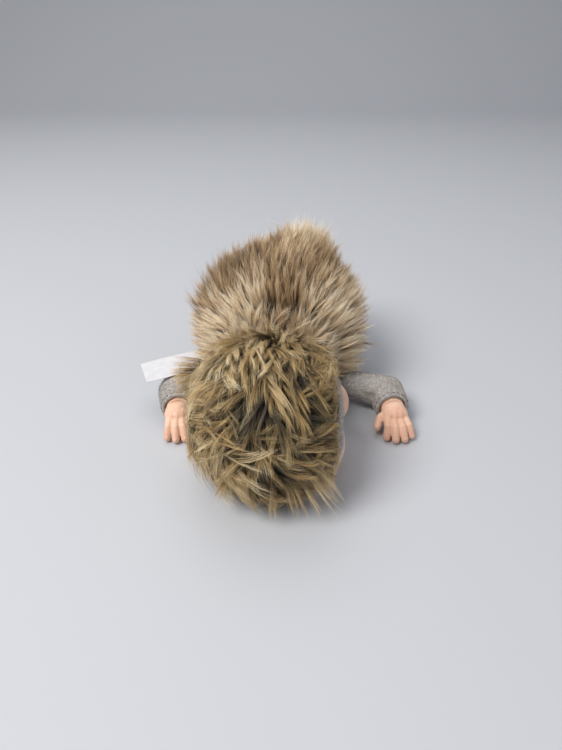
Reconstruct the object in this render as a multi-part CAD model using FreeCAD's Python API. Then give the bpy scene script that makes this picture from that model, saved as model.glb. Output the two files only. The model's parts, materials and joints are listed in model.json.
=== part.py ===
"""A soft baby doll in a furry animal suit, lying on its belly with its head turned to its left.

The doll is built as it is sewn: a long-pile fur back and a short-nap belly around a stuffed body with a
bag of pellets, a hollow vinyl head on a tied neck under a fur hood, and stuffed arms and legs that end in
hollow vinyl hands and feet.  Millimetres, +Z up, +Y from head to feet, +X to the doll's left.  The origin
is the centre of the flat of the belly that the doll rests on.
"""
import FreeCAD, Part

import math
import os

from FreeCAD import Vector

# ---------------------------------------------------------------- driving dimensions
CLOTH = 1.5             # thickness of the sewn cloth, nap included
GAP = 0.3               # space kept between pieces that move past each other

# body
BODY_Z = 30.0           # height of the body's long axis
BODY_R = 33.5           # radius of the sewn body at its widest
BODY_FRONT = 52.0       # half length of the body towards the neck
BODY_REAR = 41.0        # half length of the body towards the feet
PILE = 13.0             # standing height of the back's pile
PILE_FRONT = 58.0       # half length of the pile towards the neck
PILE_REAR = 52.0        # half length of the pile towards the feet
NECK_CUT = -42.0        # plane of the body's neck opening
SEAM_ANGLE = 125.0      # side seams, from the top of the back round the body
LIMB_ROOM_Z = 33.0      # the pile stops at this height above the limbs
ARM_ROOM_Y = -6.0       # and in front of and behind these places along the body
LEG_ROOM_Y = 23.0

# pellet bag
BAG_CENTRE = Vector(0, 2, 12.5)
BAG_SEMI = (21.0, 27.0, 8.5)
BAG_CLOTH = 0.8
PELLET_R = 2.1
PELLET_PITCH = 5.0

# head
HEAD = Vector(-4, -89, 33)
HEAD_R = 27.0
VINYL = 2.0             # wall of the moulded head
HEAD_TURN = 52.0        # how far the face is turned from straight down to the doll's left
FACE_OUT = 13.0         # face sphere, forward of the skull's centre
FACE_DOWN = 8.0         # face sphere, towards the chin
FACE_R = 20.5
HOOD_R = 27.3           # inside of the hood's cloth
HOOD_PILE_R = 36.0      # outside of the hood's pile
FACE_HOLE_R = 20.5      # the hood's opening round the face
FACE_HOLE_DOWN = 6.0    # centre of that opening, towards the chin
BAND_T = 2.4            # width and height of the band that edges the hood
BAND_H = 3.2
BAND_FROM = 13.0        # the band lies wholly in front of this distance from the skull's centre
HOOD_NECK_R = 14.0      # the hood's opening for the neck

# neck
NECK_TUBE_R = 9.5
NECK_GROOVE_R = 8.3
NECK_BORE_R = 7.4
NECK_LIP_Y = -53.0      # free end of the neck tube, inside the neck cloth
GROOVE_FRONT_Y = -60.0
GROOVE_REAR_Y = -56.0
NECK_ROOM = 13.0        # the filling leaves a hollow of this radius for the neck to bend in
NECK_REAR_R = 10.0      # the neck cloth's radius where it enters the body
NECK_CLOTH = 1.2
RUN = 0.06              # running clearance of a tied neck or wrist on its groove
TIE_T = 1.3             # thickness of a cable tie's strap round the neck

# arms: root of the arm, elbow and cuff
ARM_ROOT = Vector(34.5, -33.4, 12.4)
ARM_ROOT_R = 5.8
ELBOW = Vector(53.0, -38.0, 9.4)
ELBOW_R = 8.4
CUFF_Y = -51.5
CUFF_R = 7.8
FOREARM_YAW = {1: 5.0, -1: 12.0}     # turn of each forearm about its elbow, towards +X
TAB_T = 1.8             # thickness of the flat cloth tab that sews a limb on
ARM_TAB = [(17.8, -38.5), (22.3, -33.0), (25.5, -27.5), (27.6, -27.9), (27.6, -38.1)]
ARM_TAB_Z = 14.0
ELBOW_BEND = (-10, 40)  # how far each elbow bends inwards and outwards from rest, in degrees

# legs: root of the leg, knee and ankle
LEG_TAB = [(16.5, 26.8), (19.5, 23.4), (22.5, 19.2), (23.4, 27.6), (17.0, 28.2)]
LEG_TAB_Z = 8.6
LEG_ROOT = Vector(19.8, 33.9, 10.4)
LEG_ROOT_R = 5.2
LEG_SPREAD = 14.0       # angle of the leg outwards from +Y
LEG_KNEE = 9.0          # distance of the thickest place from the root
LEG_ANKLE = 25.0        # distance of the ankle cuff from the root
LEG_R = 8.4
ANKLE_R = 7.6
LEG_Z = 9.0             # height of the leg's axis beyond the root

# wrist and ankle fittings of the vinyl hands and feet
WRIST_FLANGE_R = 6.1
WRIST_GROOVE_R = 4.8
WRIST_TIE_R = 6.0
WRIST_R = 5.6

# care label
LABEL_L = 40.0
LABEL_W = 19.0
LABEL_T = 0.5
LABEL_ROOT = Vector(-31.1, -19.3, 20.6)
LABEL_YAW = 20.0        # turn of the label towards the head

# thread
STITCH = (1.7, 0.5, 0.4)
SLIT = (22, 36, 2)      # the stitches that close the filling slit: first, end and pitch along Y
CUFF_STITCHES = 16

WIDE = 90.0             # reach of the blocks that cut whole sides away
X, Y, Z = Vector(1, 0, 0), Vector(0, 1, 0), Vector(0, 0, 1)
TURN = math.radians(HEAD_TURN)
FACE_DIR = Vector(math.sin(TURN), 0, -math.cos(TURN))
HEAD_LEFT = Vector(math.cos(TURN), 0, math.sin(TURN))
FACE = HEAD + FACE_DIR * FACE_OUT + Y * FACE_DOWN
NECK_PIVOT = Vector(HEAD.x, NECK_CUT, HEAD.z)


# ---------------------------------------------------------------- general shapes
def ball(centre, radius):
    return Part.makeSphere(radius, centre)


def rod(start, end, r_start, r_end=None):
    """A cylinder or cone from one point to another."""
    r_end = r_start if r_end is None else r_end
    along = end - start
    if abs(r_start - r_end) < 1e-6:
        return Part.makeCylinder(r_start, along.Length, start, along)
    return Part.makeCone(r_start, r_end, along.Length, start, along)


def capsule(start, end, r_start, r_end=None):
    """A rod with round ends."""
    r_end = r_start if r_end is None else r_end
    return join(rod(start, end, r_start, r_end), ball(start, r_start), ball(end, r_end))


def join(first, *others):
    """One solid from several that overlap."""
    return first.fuse(list(others)).removeSplitter() if others else first


def ellipsoid(centre, semi):
    squeeze = FreeCAD.Matrix()
    squeeze.scale(Vector(*semi))
    shape = Part.makeSphere(1.0).transformGeometry(squeeze)
    shape.translate(centre)
    return shape


def box_between(low, high):
    size = high - low
    return Part.makeBox(size.x, size.y, size.z, low)


def below(height):
    """Everything under a height, as a block to cut with."""
    return box_between(Vector(-WIDE, -2 * WIDE, -WIDE), Vector(WIDE, WIDE, height))


def ring_round_y(centre, inner, outer, y_low, y_high):
    """A plain ring whose axis runs along Y."""
    start, end = Vector(centre.x, y_low, centre.z), Vector(centre.x, y_high, centre.z)
    return rod(start, end, outer).cut(rod(start, end, inner))


def lathe_y(centre, outline):
    """A solid turned round the Y axis through centre from (y, radius) corners."""
    corners = [Vector(centre.x, y, centre.z + r) for y, r in outline]
    face = Part.Face(Part.makePolygon(corners + corners[:1]))
    return face.revolve(Vector(centre.x, 0, centre.z), Y, 360)


def mirrored(shape, side):
    """The shape as made for the doll's left, or its mirror image for the right."""
    return shape if side > 0 else shape.mirror(Vector(0, 0, 0), X)


def mirrored_point(point, side):
    return Vector(point.x * side, point.y, point.z)


def turned(shape, centre, axis, degrees):
    copy = shape.copy()
    copy.rotate(centre, axis, degrees)
    return copy


# ---------------------------------------------------------------- body
def body_line(front, rear, radius):
    """The half outline of a body shell in the plane x = 0: two quarter ellipses from the neck opening to
    the rear pole, as edges, with the first and last point."""
    centre = Vector(0, 0, BODY_Z)
    crown = centre + Z * radius
    neck_side = Part.Ellipse(centre - Y * front, crown, centre)
    rear_side = Part.Ellipse(centre + Y * rear, crown, centre)
    cut = math.acos(-NECK_CUT / front)
    edges = [
        Part.ArcOfEllipse(neck_side, cut, math.pi / 2).toShape(),
        Part.ArcOfEllipse(rear_side, 0, math.pi / 2).toShape(),
    ]
    return edges, neck_side.value(cut), centre + Y * rear


def body_sector(outer, inner, start, sweep):
    """The space between two body outlines, turned round the body's axis from start through sweep degrees.
    With no inner outline, the sector is solid to the axis."""
    edges, neck, pole = body_line(*outer)
    if inner:
        inner_edges, inner_neck, inner_pole = body_line(*inner)
        edges += inner_edges
        edges += [Part.makeLine(neck, inner_neck), Part.makeLine(inner_pole, pole)]
    else:
        axis_neck = Vector(0, NECK_CUT, BODY_Z)
        edges += [Part.makeLine(neck, axis_neck), Part.makeLine(axis_neck, pole)]
    face = Part.Face(Part.Wire(Part.__sortEdges__(edges)))
    centre = Vector(0, 0, BODY_Z)
    return turned(face, centre, Y, start).revolve(centre, Y, sweep)


SKIN = (BODY_FRONT, BODY_REAR, BODY_R)
LINING = (BODY_FRONT - CLOTH, BODY_REAR - CLOTH, BODY_R - CLOTH)
COAT = (PILE_FRONT, PILE_REAR, BODY_R + PILE)


def limb_room():
    """Space outside the skin that the limbs and the label need, where the pile is left out of the solid."""
    skin = body_sector(SKIN, None, 0, 360)
    front = box_between(Vector(-WIDE, -WIDE, -WIDE), Vector(WIDE, ARM_ROOM_Y, LIMB_ROOM_Z))
    rear = box_between(Vector(-WIDE, LEG_ROOM_Y, -WIDE), Vector(WIDE, WIDE, LIMB_ROOM_Z))
    return front.fuse(rear).cut(skin)


def back_panel(side):
    """Half of the back: backing cloth and standing pile in one, sewn to its mirror image along the spine."""
    start = 0 if side > 0 else -SEAM_ANGLE
    panel = body_sector(COAT, LINING, start, SEAM_ANGLE)
    return panel.cut([limb_room(), below(0.6)])


def belly_panel():
    """The short-nap underside, flat where the doll lies on it."""
    tray = body_sector(SKIN, None, SEAM_ANGLE, 360 - 2 * SEAM_ANGLE)
    hollow = body_sector(LINING, None, 0, 360).cut(below(CLOTH))
    return tray.cut([below(0), hollow])


def bag_outside():
    return ellipsoid(BAG_CENTRE, BAG_SEMI)


def body_stuffing():
    """Fibre filling, with room for the pellet bag and for the neck to bend."""
    lining = body_sector(LINING, None, 0, 360)
    return lining.cut([below(CLOTH), bag_outside(), ball(NECK_PIVOT, NECK_ROOM)])


def pellet_bag():
    inner = ellipsoid(BAG_CENTRE, [s - BAG_CLOTH for s in BAG_SEMI])
    return bag_outside().cut(inner)


def pellets():
    """Plastic pellets as separate balls on a lattice inside the bag."""
    room = [s - BAG_CLOTH - PELLET_R - 0.2 for s in BAG_SEMI]
    counts = [int(r / PELLET_PITCH) for r in room]
    balls = []
    for i in range(-counts[0], counts[0] + 1):
        for j in range(-counts[1], counts[1] + 1):
            for k in range(-counts[2], counts[2] + 1):
                place = Vector(i, j, k) * PELLET_PITCH
                share = sum((p / r) ** 2 for p, r in zip(place, room))
                if share <= 1:
                    balls.append(ball(BAG_CENTRE + place, PELLET_R))
    return Part.makeCompound(balls)


def closing_stitches():
    """The hand-sewn stitches that close the filling slit, where the belly curves up to the rear."""
    long, wide, high = STITCH
    stitches = []
    for y in range(*SLIT):
        share = math.sqrt(1 - (y / BODY_REAR) ** 2)
        slope = BODY_R * y / (BODY_REAR ** 2 * share)
        stitch = Part.makeBox(2 * long, wide, high, Vector(-long, -wide / 2, -high - 0.05))
        stitch.rotate(Vector(0, 0, 0), X, math.degrees(math.atan(slope)))
        stitch.translate(Vector(0, y, BODY_Z - BODY_R * share))
        stitches.append(stitch)
    return Part.makeCompound(stitches)


# ---------------------------------------------------------------- head and neck
def on_head(out, left, down):
    """A point from the skull's centre: out through the face, to the head's left and towards the chin."""
    return HEAD + FACE_DIR * out + HEAD_LEFT * left + Y * down


def head_form(inset):
    """The head's outer form, or the same form drawn in by a wall's thickness."""
    cheek_left, cheek_right = on_head(21.0, 10.5, 15.5), on_head(21.0, -10.5, 15.5)
    chin, brow = on_head(25.5, 0, 21.5), on_head(18.5, 0, -5.0)
    parts = [
        ball(FACE, FACE_R - inset),
        ball(cheek_left, 10.5 - inset),
        ball(cheek_right, 10.5 - inset),
        ball(chin, 6.5 - inset),
        ball(brow, 16.0 - inset),
    ]
    return join(ball(HEAD, HEAD_R - inset), *parts)


def head_shell():
    """The hollow moulded head, with its neck tube, tie groove and lip."""
    tube_root = HEAD.y + HEAD_R - 4.0
    nose = ball(on_head(34.0, 0, 9.5), 2.6)
    outside = join(
        head_form(0),
        nose,
        lathe_y(HEAD, [(tube_root, 0), (tube_root, NECK_TUBE_R), (GROOVE_FRONT_Y, NECK_TUBE_R),
                       (GROOVE_FRONT_Y, NECK_GROOVE_R), (GROOVE_REAR_Y, NECK_GROOVE_R),
                       (GROOVE_REAR_Y, NECK_TUBE_R), (NECK_LIP_Y, NECK_TUBE_R), (NECK_LIP_Y, 0)]),
    )
    bore = rod(HEAD, Vector(HEAD.x, NECK_LIP_Y, HEAD.z), NECK_BORE_R)
    return outside.cut(join(head_form(VINYL), bore))


def head_stuffing():
    plug = rod(HEAD, Vector(HEAD.x, NECK_LIP_Y - 2, HEAD.z), NECK_BORE_R)
    return join(head_form(VINYL), plug)


def hood(side):
    """Half of the fur hood, cloth and pile in one, open round the face and behind for the neck."""
    shell = ball(HEAD, HOOD_PILE_R).cut(ball(HEAD, HOOD_R))
    face_hole = rod(on_head(0, 0, FACE_HOLE_DOWN), on_head(60, 0, FACE_HOLE_DOWN), FACE_HOLE_R + BAND_T)
    neck_hole = rod(HEAD, HEAD + Y * 60, HOOD_NECK_R)
    half = Part.makeBox(200, 200, 100, Vector(-100, -100, 0 if side > 0 else -100))
    half.Placement = FreeCAD.Placement(HEAD, FreeCAD.Rotation(Z, HEAD_LEFT)).multiply(half.Placement)
    return shell.common(half).cut([face_hole, neck_hole, below(GAP), head_form(-GAP)])


def hood_band():
    """The short-nap band that edges the hood round the face and follows its cheeks and chin."""
    start, end = on_head(BAND_FROM, 0, FACE_HOLE_DOWN), on_head(60, 0, FACE_HOLE_DOWN)
    ring = rod(start, end, FACE_HOLE_R + BAND_T - 0.05).cut(rod(start, end, FACE_HOLE_R))
    over = join(head_form(-BAND_H), ball(HEAD, HOOD_R + BAND_H))
    neck_hole = rod(HEAD, HEAD + Y * 60, HOOD_NECK_R)
    return ring.common(over).cut([head_form(-0.05), neck_hole, below(GAP)])


def neck_sleeve():
    """The cloth neck: gathered into the head's groove in front, wide in the body's neck opening."""
    gathered = NECK_GROOVE_R + RUN
    folds = 0.9
    lip = NECK_TUBE_R + GAP
    front, step = GROOVE_FRONT_Y + 0.2, GROOVE_REAR_Y - 0.4
    outline = [
        (front, gathered), (step, gathered), (step, lip), (NECK_LIP_Y + 1.0, lip),
        (NECK_CUT + 1.0, NECK_REAR_R), (NECK_CUT + 1.0, NECK_REAR_R + NECK_CLOTH),
        (NECK_LIP_Y + 1.0, lip + NECK_CLOTH), (step - NECK_CLOTH, lip + NECK_CLOTH),
        (step - NECK_CLOTH, gathered + folds), (front, gathered + folds),
    ]
    return lathe_y(HEAD, outline)


def cable_tie(centre, inner, thick, y_low, y_high, head_size):
    """A nylon cable tie round a gathered cloth: its strap and the block of its ratchet."""
    strap = ring_round_y(centre, inner, inner + thick, y_low, y_high)
    middle = (y_low + y_high) / 2
    block = Part.makeBox(head_size, y_high - y_low, head_size * 0.8,
                         Vector(centre.x - head_size / 2, y_low, centre.z + inner + 0.4))
    tail = Part.makeBox(head_size * 1.3, (y_high - y_low) * 0.7, thick * 0.5,
                        Vector(centre.x + head_size * 0.3, middle - (y_high - y_low) * 0.35,
                               centre.z + inner + thick * 0.5))
    bore = rod(Vector(centre.x, y_low - 1, centre.z), Vector(centre.x, y_high + 1, centre.z), inner)
    return join(strap, block, tail).cut(bore)


def neck_tie():
    inner = NECK_GROOVE_R + RUN + 0.9
    return cable_tie(HEAD, inner, TIE_T, GROOVE_FRONT_Y + 0.4, GROOVE_REAR_Y - 1.7, 3.0)


# ---------------------------------------------------------------- arms
def cloth_tab(corners, height):
    """A flat cloth tab with the given outline, centred on a height."""
    outline = [Vector(x, y, height - TAB_T / 2) for x, y in corners]
    return Part.Face(Part.makePolygon(outline + outline[:1])).extrude(Z * TAB_T)


def arm_tab():
    """The cloth tab of the arm that is caught in the body's side seam; its inner edge follows the body."""
    return cloth_tab(ARM_TAB, ARM_TAB_Z)


def forearm_room(side):
    """The space that the forearm sweeps as the elbow bends."""
    step = 10
    reach = ELBOW - Y * 20
    rods = [ball(ELBOW, ELBOW_R + GAP)]
    for bend in range(ELBOW_BEND[0], ELBOW_BEND[1] + 1, step):
        degrees = bend + FOREARM_YAW[side] * side
        rods.append(turned(rod(ELBOW, reach, ELBOW_R + GAP), ELBOW, Z, degrees))
    return rods[0].fuse(rods[1:])


def upper_arm_form(inset):
    return join(
        ball(ARM_ROOT, ARM_ROOT_R - inset),
        rod(ARM_ROOT, ELBOW, ARM_ROOT_R - inset, ELBOW_R - inset),
    )


def upper_sleeve(side):
    return upper_arm_form(0).cut([upper_stuffing(side), forearm_room(side)])


def upper_stuffing(side):
    """The filling of the upper arm, a wall's thickness inside its sleeve on every side."""
    wall = CLOTH - 0.3
    elbow_side = -wall * (ELBOW - ARM_ROOT).normalize()
    room = forearm_room(side)
    nearer = room.copy()
    nearer.translate(elbow_side)
    return upper_arm_form(wall).cut([room, nearer])


def forearm_form(inset, end_y):
    share = (ELBOW.y - end_y) / (ELBOW.y - CUFF_Y)
    end_r = ELBOW_R + (CUFF_R - ELBOW_R) * share
    end = Vector(ELBOW.x, end_y, ELBOW.z)
    return join(ball(ELBOW, ELBOW_R - inset), rod(ELBOW, end, ELBOW_R - inset, end_r - inset))


FLANGE_Y = CUFF_Y + 5.6      # inner end of the wrist, inside the cuff


def fore_sleeve():
    wall = CLOTH - 0.3
    bore = rod(ELBOW, Vector(ELBOW.x, CUFF_Y - 1, ELBOW.z), CUFF_R - wall)
    return forearm_form(0, CUFF_Y).cut(join(forearm_form(wall, FLANGE_Y), bore))


def fore_stuffing():
    return forearm_form(CLOTH - 0.3, FLANGE_Y + GAP)


def wrist_tie():
    centre = Vector(ELBOW.x, 0, ELBOW.z)
    return ring_round_y(centre, WRIST_GROOVE_R + RUN, WRIST_TIE_R, FLANGE_Y - 3.2, FLANGE_Y - 1.3)


def stitches_round_y(centre, radius, y, count):
    """Short thread stitches round a cuff, each lying flat on the cloth."""
    long, wide, high = STITCH
    stitches = []
    for i in range(count):
        stitch = Part.makeBox(long, wide, high, Vector(centre.x - long / 2, y - wide / 2, centre.z + radius + 0.03))
        stitches.append(turned(stitch, centre, Y, 360.0 * i / count))
    return Part.makeCompound(stitches)


def cuff_stitches():
    return stitches_round_y(ELBOW, CUFF_R + 0.1, CUFF_Y + 1.2, CUFF_STITCHES)


def wrist_fitting(centre, y, direction):
    """Flange, tie groove and wrist of a moulded hand or foot, along Y from y."""
    def at(distance):
        return Vector(centre.x, y + direction * distance, centre.z)
    return [
        rod(at(0), at(1.2), WRIST_FLANGE_R),
        rod(at(1.1), at(3.4), WRIST_GROOVE_R),
        rod(at(3.3), at(7.0), WRIST_R),
    ]


# fingers of the doll's left hand: knuckle x, tip x, tip y, radius
FINGERS = [
    (49.4, 48.9, -65.2, 1.95),
    (52.7, 52.7, -67.0, 2.05),
    (56.1, 56.6, -66.8, 2.0),
    (59.2, 60.2, -64.6, 1.8),
]
KNUCKLE_Y, KNUCKLE_Z = -58.6, 7.4
TIP_Z = 2.3


def hand():
    """The moulded hand, palm down, with a thumb and four bent fingers."""
    palm = ellipsoid(Vector(53.8, -56.8, 7.9), (7.4, 7.0, 4.4))
    parts = wrist_fitting(ELBOW, FLANGE_Y, -1)
    for knuckle_x, tip_x, tip_y, r in FINGERS:
        knuckle = Vector(knuckle_x, KNUCKLE_Y, KNUCKLE_Z)
        tip = Vector(tip_x, tip_y, TIP_Z)
        bend = (knuckle + tip) * 0.5 + Vector(0, -1.6, 1.4)
        parts += [capsule(knuckle, bend, r + 0.1, r), capsule(bend, tip, r, r - 0.2)]
    thumb_root, thumb_tip = Vector(49.2, -54.9, 7.4), Vector(44.6, -59.4, 4.4)
    parts.append(capsule(thumb_root, thumb_tip, 2.6, 1.95))
    return join(palm, *parts)


# ---------------------------------------------------------------- legs
LEG_DIR = Vector(math.sin(math.radians(LEG_SPREAD)), math.cos(math.radians(LEG_SPREAD)), 0)


def leg_frame(shape):
    """Places a leg piece made along Y through (LEG_ROOT.x, LEG_Z)."""
    return turned(shape, Vector(LEG_ROOT.x, LEG_ROOT.y, LEG_Z), Z, -LEG_SPREAD)


def leg_at(distance):
    return Vector(LEG_ROOT.x, LEG_ROOT.y + distance, LEG_Z)


def leg_tab():
    return cloth_tab(LEG_TAB, LEG_TAB_Z)


def leg_form(inset, end):
    share = (end - LEG_KNEE) / (LEG_ANKLE - LEG_KNEE)
    end_r = LEG_R + (ANKLE_R - LEG_R) * share
    return join(
        ball(leg_at(0), LEG_ROOT_R - inset),
        rod(leg_at(0), leg_at(LEG_KNEE), LEG_ROOT_R - inset, LEG_R - inset),
        rod(leg_at(LEG_KNEE), leg_at(end), LEG_R - inset, end_r - inset),
    )


ANKLE_FLANGE = LEG_ANKLE - 5.6


def leg_sleeve():
    wall = CLOTH - 0.3
    bore = rod(leg_at(ANKLE_FLANGE - 1), leg_at(LEG_ANKLE + 1), ANKLE_R - wall)
    return leg_frame(leg_form(0, LEG_ANKLE).cut(join(leg_form(wall, ANKLE_FLANGE), bore)))


def leg_stuffing():
    return leg_frame(leg_form(CLOTH - 0.3, ANKLE_FLANGE - GAP))


def ankle_tie():
    centre, y = leg_at(0), leg_at(ANKLE_FLANGE).y
    return leg_frame(ring_round_y(centre, WRIST_GROOVE_R + RUN, WRIST_TIE_R, y + 1.3, y + 3.2))


def ankle_stitches():
    return leg_frame(stitches_round_y(leg_at(0), ANKLE_R + 0.12, leg_at(LEG_ANKLE - 1.2).y, CUFF_STITCHES))


# toes from the big toe, which lies lowest: reach outwards, height from the leg's axis, radius
TOES = [(14.6, -6.1, 2.3), (15.8, -2.6, 1.9), (15.4, 0.2, 1.75), (14.4, 2.6, 1.6), (12.8, 4.6, 1.5)]


def foot():
    """The moulded foot, lying on its inner edge with the toes pointing outwards and the sole to the rear."""
    ankle = leg_at(LEG_ANKLE + 1.0)
    heel = ankle + Vector(-3.0, 4.2, 0)
    ball_of_foot = ankle + Vector(10.5, 4.6, 0)
    body = join(
        capsule(ankle + Vector(0, 0.8, 0), heel, 5.2, 5.2),
        capsule(heel, ball_of_foot + Vector(0, 0, -1.6), 5.2, 4.4),
        capsule(heel, ball_of_foot + Vector(-1.0, 0, 1.6), 5.2, 4.6),
    )
    parts = wrist_fitting(leg_at(0), leg_at(ANKLE_FLANGE).y, 1)
    for out, up, r in TOES:
        root = ankle + Vector(out - 4.0, 4.6, up * 0.7)
        parts.append(capsule(root, ankle + Vector(out, 4.6, up), r, r))
    return leg_frame(join(body, *parts))


# ---------------------------------------------------------------- label
def care_label():
    """A folded satin tape caught in the side seam on the doll's right, lying over the sleeve."""
    sag = [(0, 0), (0.2, 0.9), (0.45, 1.2), (0.7, 0.7), (1, -0.9)]
    curve = Part.BSplineCurve()
    curve.interpolate([Vector(-LABEL_L * along, 0, height) for along, height in sag])
    lower = curve.toShape()
    upper = lower.copy()
    upper.translate(Z * LABEL_T)
    ends = [(c.valueAt(c.FirstParameter), c.valueAt(c.LastParameter)) for c in (lower, upper)]
    wire = Part.Wire([lower, Part.makeLine(ends[0][1], ends[1][1]), upper, Part.makeLine(ends[1][0], ends[0][0])])
    tape = Part.Face(wire).extrude(Y * LABEL_W)
    tape.translate(LABEL_ROOT - Y * LABEL_W / 2)
    return turned(tape, LABEL_ROOT, Z, LABEL_YAW)


# ---------------------------------------------------------------- the whole doll
def arm_pieces(side):
    name = "left" if side > 0 else "right"
    still = {
        "arm_tab": arm_tab(), "upper_sleeve": upper_sleeve(side), "upper_arm_stuffing": upper_stuffing(side),
    }
    swung = {
        "fore_sleeve": fore_sleeve(), "forearm_stuffing": fore_stuffing(), "wrist_tie": wrist_tie(),
        "cuff_stitches": cuff_stitches(), "hand": hand(),
    }
    pieces = {f"{name}_{k}": mirrored(s, side) for k, s in still.items()}
    elbow = mirrored_point(ELBOW, side)
    for k, s in swung.items():
        pieces[f"{name}_{k}"] = turned(mirrored(s, side), elbow, Z, FOREARM_YAW[side])
    return pieces


def leg_pieces(side):
    name = "left" if side > 0 else "right"
    made = {
        "leg_tab": leg_tab(), "leg_sleeve": leg_sleeve(), "leg_stuffing": leg_stuffing(),
        "ankle_tie": ankle_tie(), "ankle_stitches": ankle_stitches(), "foot": foot(),
    }
    return {f"{name}_{k}": mirrored(s, side) for k, s in made.items()}


def doll():
    pieces = {
        "back_panel_left": back_panel(1), "back_panel_right": back_panel(-1),
        "belly_panel": belly_panel(), "body_stuffing": body_stuffing(),
        "pellet_bag": pellet_bag(), "pellets": pellets(), "closing_stitches": closing_stitches(),
        "neck_sleeve": neck_sleeve(), "neck_tie": neck_tie(),
        "head_shell": head_shell(), "head_stuffing": head_stuffing(),
        "hood_left": hood(1), "hood_right": hood(-1), "hood_band": hood_band(),
        "care_label": care_label(),
    }
    for side in (1, -1):
        pieces.update(arm_pieces(side))
        pieces.update(leg_pieces(side))
    return pieces


def main():
    os.makedirs("parts", exist_ok=True)
    for name, shape in doll().items():
        solids = shape.Solids
        volume = sum(s.Volume for s in solids)
        if not shape.isValid() or not solids or min(s.Volume for s in solids) <= 0:
            print("CHECK", name, "valid", shape.isValid(), "solids", len(solids))
        whole = solids[0] if len(solids) == 1 else Part.makeCompound(solids)
        whole.exportStep(f"parts/{name}.step")
        print(f"{name}: {len(solids)} solid(s), {volume:.0f} mm3")


main()
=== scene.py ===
"""A soft baby doll in a furry suit: pile, velour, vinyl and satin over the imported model's frame. Metres."""

import json
import math
from contextlib import contextmanager

import bmesh
import bpy
import numpy as np
from mathutils import Matrix, Vector, noise
from mathutils.bvhtree import BVHTree


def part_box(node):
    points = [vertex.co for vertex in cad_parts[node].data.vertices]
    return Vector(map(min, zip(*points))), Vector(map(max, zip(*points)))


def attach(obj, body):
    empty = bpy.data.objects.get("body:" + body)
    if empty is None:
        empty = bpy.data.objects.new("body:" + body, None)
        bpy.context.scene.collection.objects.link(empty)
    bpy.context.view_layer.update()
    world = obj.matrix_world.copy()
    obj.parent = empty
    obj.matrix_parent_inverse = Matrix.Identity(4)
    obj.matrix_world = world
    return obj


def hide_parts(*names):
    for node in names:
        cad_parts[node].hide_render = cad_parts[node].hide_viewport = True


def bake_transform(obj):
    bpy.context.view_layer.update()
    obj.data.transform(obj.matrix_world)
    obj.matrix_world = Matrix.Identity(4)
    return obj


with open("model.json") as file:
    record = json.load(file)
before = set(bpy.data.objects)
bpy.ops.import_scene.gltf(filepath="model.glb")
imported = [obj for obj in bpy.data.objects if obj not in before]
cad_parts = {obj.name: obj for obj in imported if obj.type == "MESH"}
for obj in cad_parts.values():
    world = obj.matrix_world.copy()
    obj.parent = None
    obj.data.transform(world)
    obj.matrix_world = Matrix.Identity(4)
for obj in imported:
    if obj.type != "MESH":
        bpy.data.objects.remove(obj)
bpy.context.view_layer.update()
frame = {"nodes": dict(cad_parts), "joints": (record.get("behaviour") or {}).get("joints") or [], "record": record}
bpy.ops.object.select_all(action="DESELECT")

MM = 0.001
SIDES = {"left": 1, "right": -1}
PIVOT = {j["name"]: Vector(j["pos_m"]) for j in frame["joints"] if "pos_m" in j}


def level(coarse, full):
    return full


def linked(name, data):
    made = bpy.data.objects.new(name, data)
    bpy.context.collection.objects.link(made)
    return made


def joint_axis(name):
    return next(j["axis"] for j in frame["joints"] if j["name"] == name)


def corners(node):
    low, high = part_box(node)
    return Vector(low), Vector(high)


# ---------------------------------------------------------------- places taken from the frame
fill_low, fill_high = corners("body_stuffing")
CLOTH = 1.5 * MM
BODY_R = (fill_high.x - fill_low.x) / 2 + CLOTH
BODY_Z = fill_high.z + CLOTH - BODY_R
BODY_REAR = fill_high.y + CLOTH
BODY_FRONT = 52 * MM
NECK_Y = fill_low.y
SEAM_ANGLE = math.radians(125)

HEAD = PIVOT["head_turn"]
SKULL_R = 27 * MM
FACE_TURN = math.radians(52)
OUT = Vector((math.sin(FACE_TURN), 0, -math.cos(FACE_TURN)))
LEFT = Vector((math.cos(FACE_TURN), 0, math.sin(FACE_TURN)))
UP = Vector((0, -1, 0))
HEAD_FRAME = Matrix((
    (LEFT.x, UP.x, OUT.x, HEAD.x),
    (LEFT.y, UP.y, OUT.y, HEAD.y),
    (LEFT.z, UP.z, OUT.z, HEAD.z),
    (0, 0, 0, 1),
))
OPENING_DOWN = 6 * MM
OPENING_R = 20.5 * MM
FLOOR_GAP = 0.25 * MM


# ---------------------------------------------------------------- camera, light and floor
CAMERA_PLACE, CAMERA_TILT = (0, -0.293, 0.179), math.radians(58)
LENS_MM, SENSOR_MM = 29.04, 36
LAMPS_AIM = (0, -0.04, 0.03)
SKY_COLOUR, SKY_STRENGTH = (0.93, 0.95, 1.0, 1), 0.34
FLOOR_COLOUR = (0.56, 0.575, 0.61, 1)


def make_camera():
    data = bpy.data.cameras.new("camera")
    data.sensor_width = SENSOR_MM
    data.lens = LENS_MM
    camera = linked("camera", data)
    camera.location = CAMERA_PLACE
    camera.rotation_euler = (CAMERA_TILT, 0, 0)
    data.clip_start = 0.01
    bpy.context.scene.camera = camera


def area_light(name, place, aim, size, power, colour=(1, 1, 1)):
    data = bpy.data.lights.new(name, "AREA")
    data.shape = "DISK"
    data.size = size
    data.energy = power
    data.color = colour
    lamp = linked(name, data)
    lamp.location = place
    lamp.rotation_euler = (Vector(aim) - Vector(place)).to_track_quat("-Z", "Y").to_euler()


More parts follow.
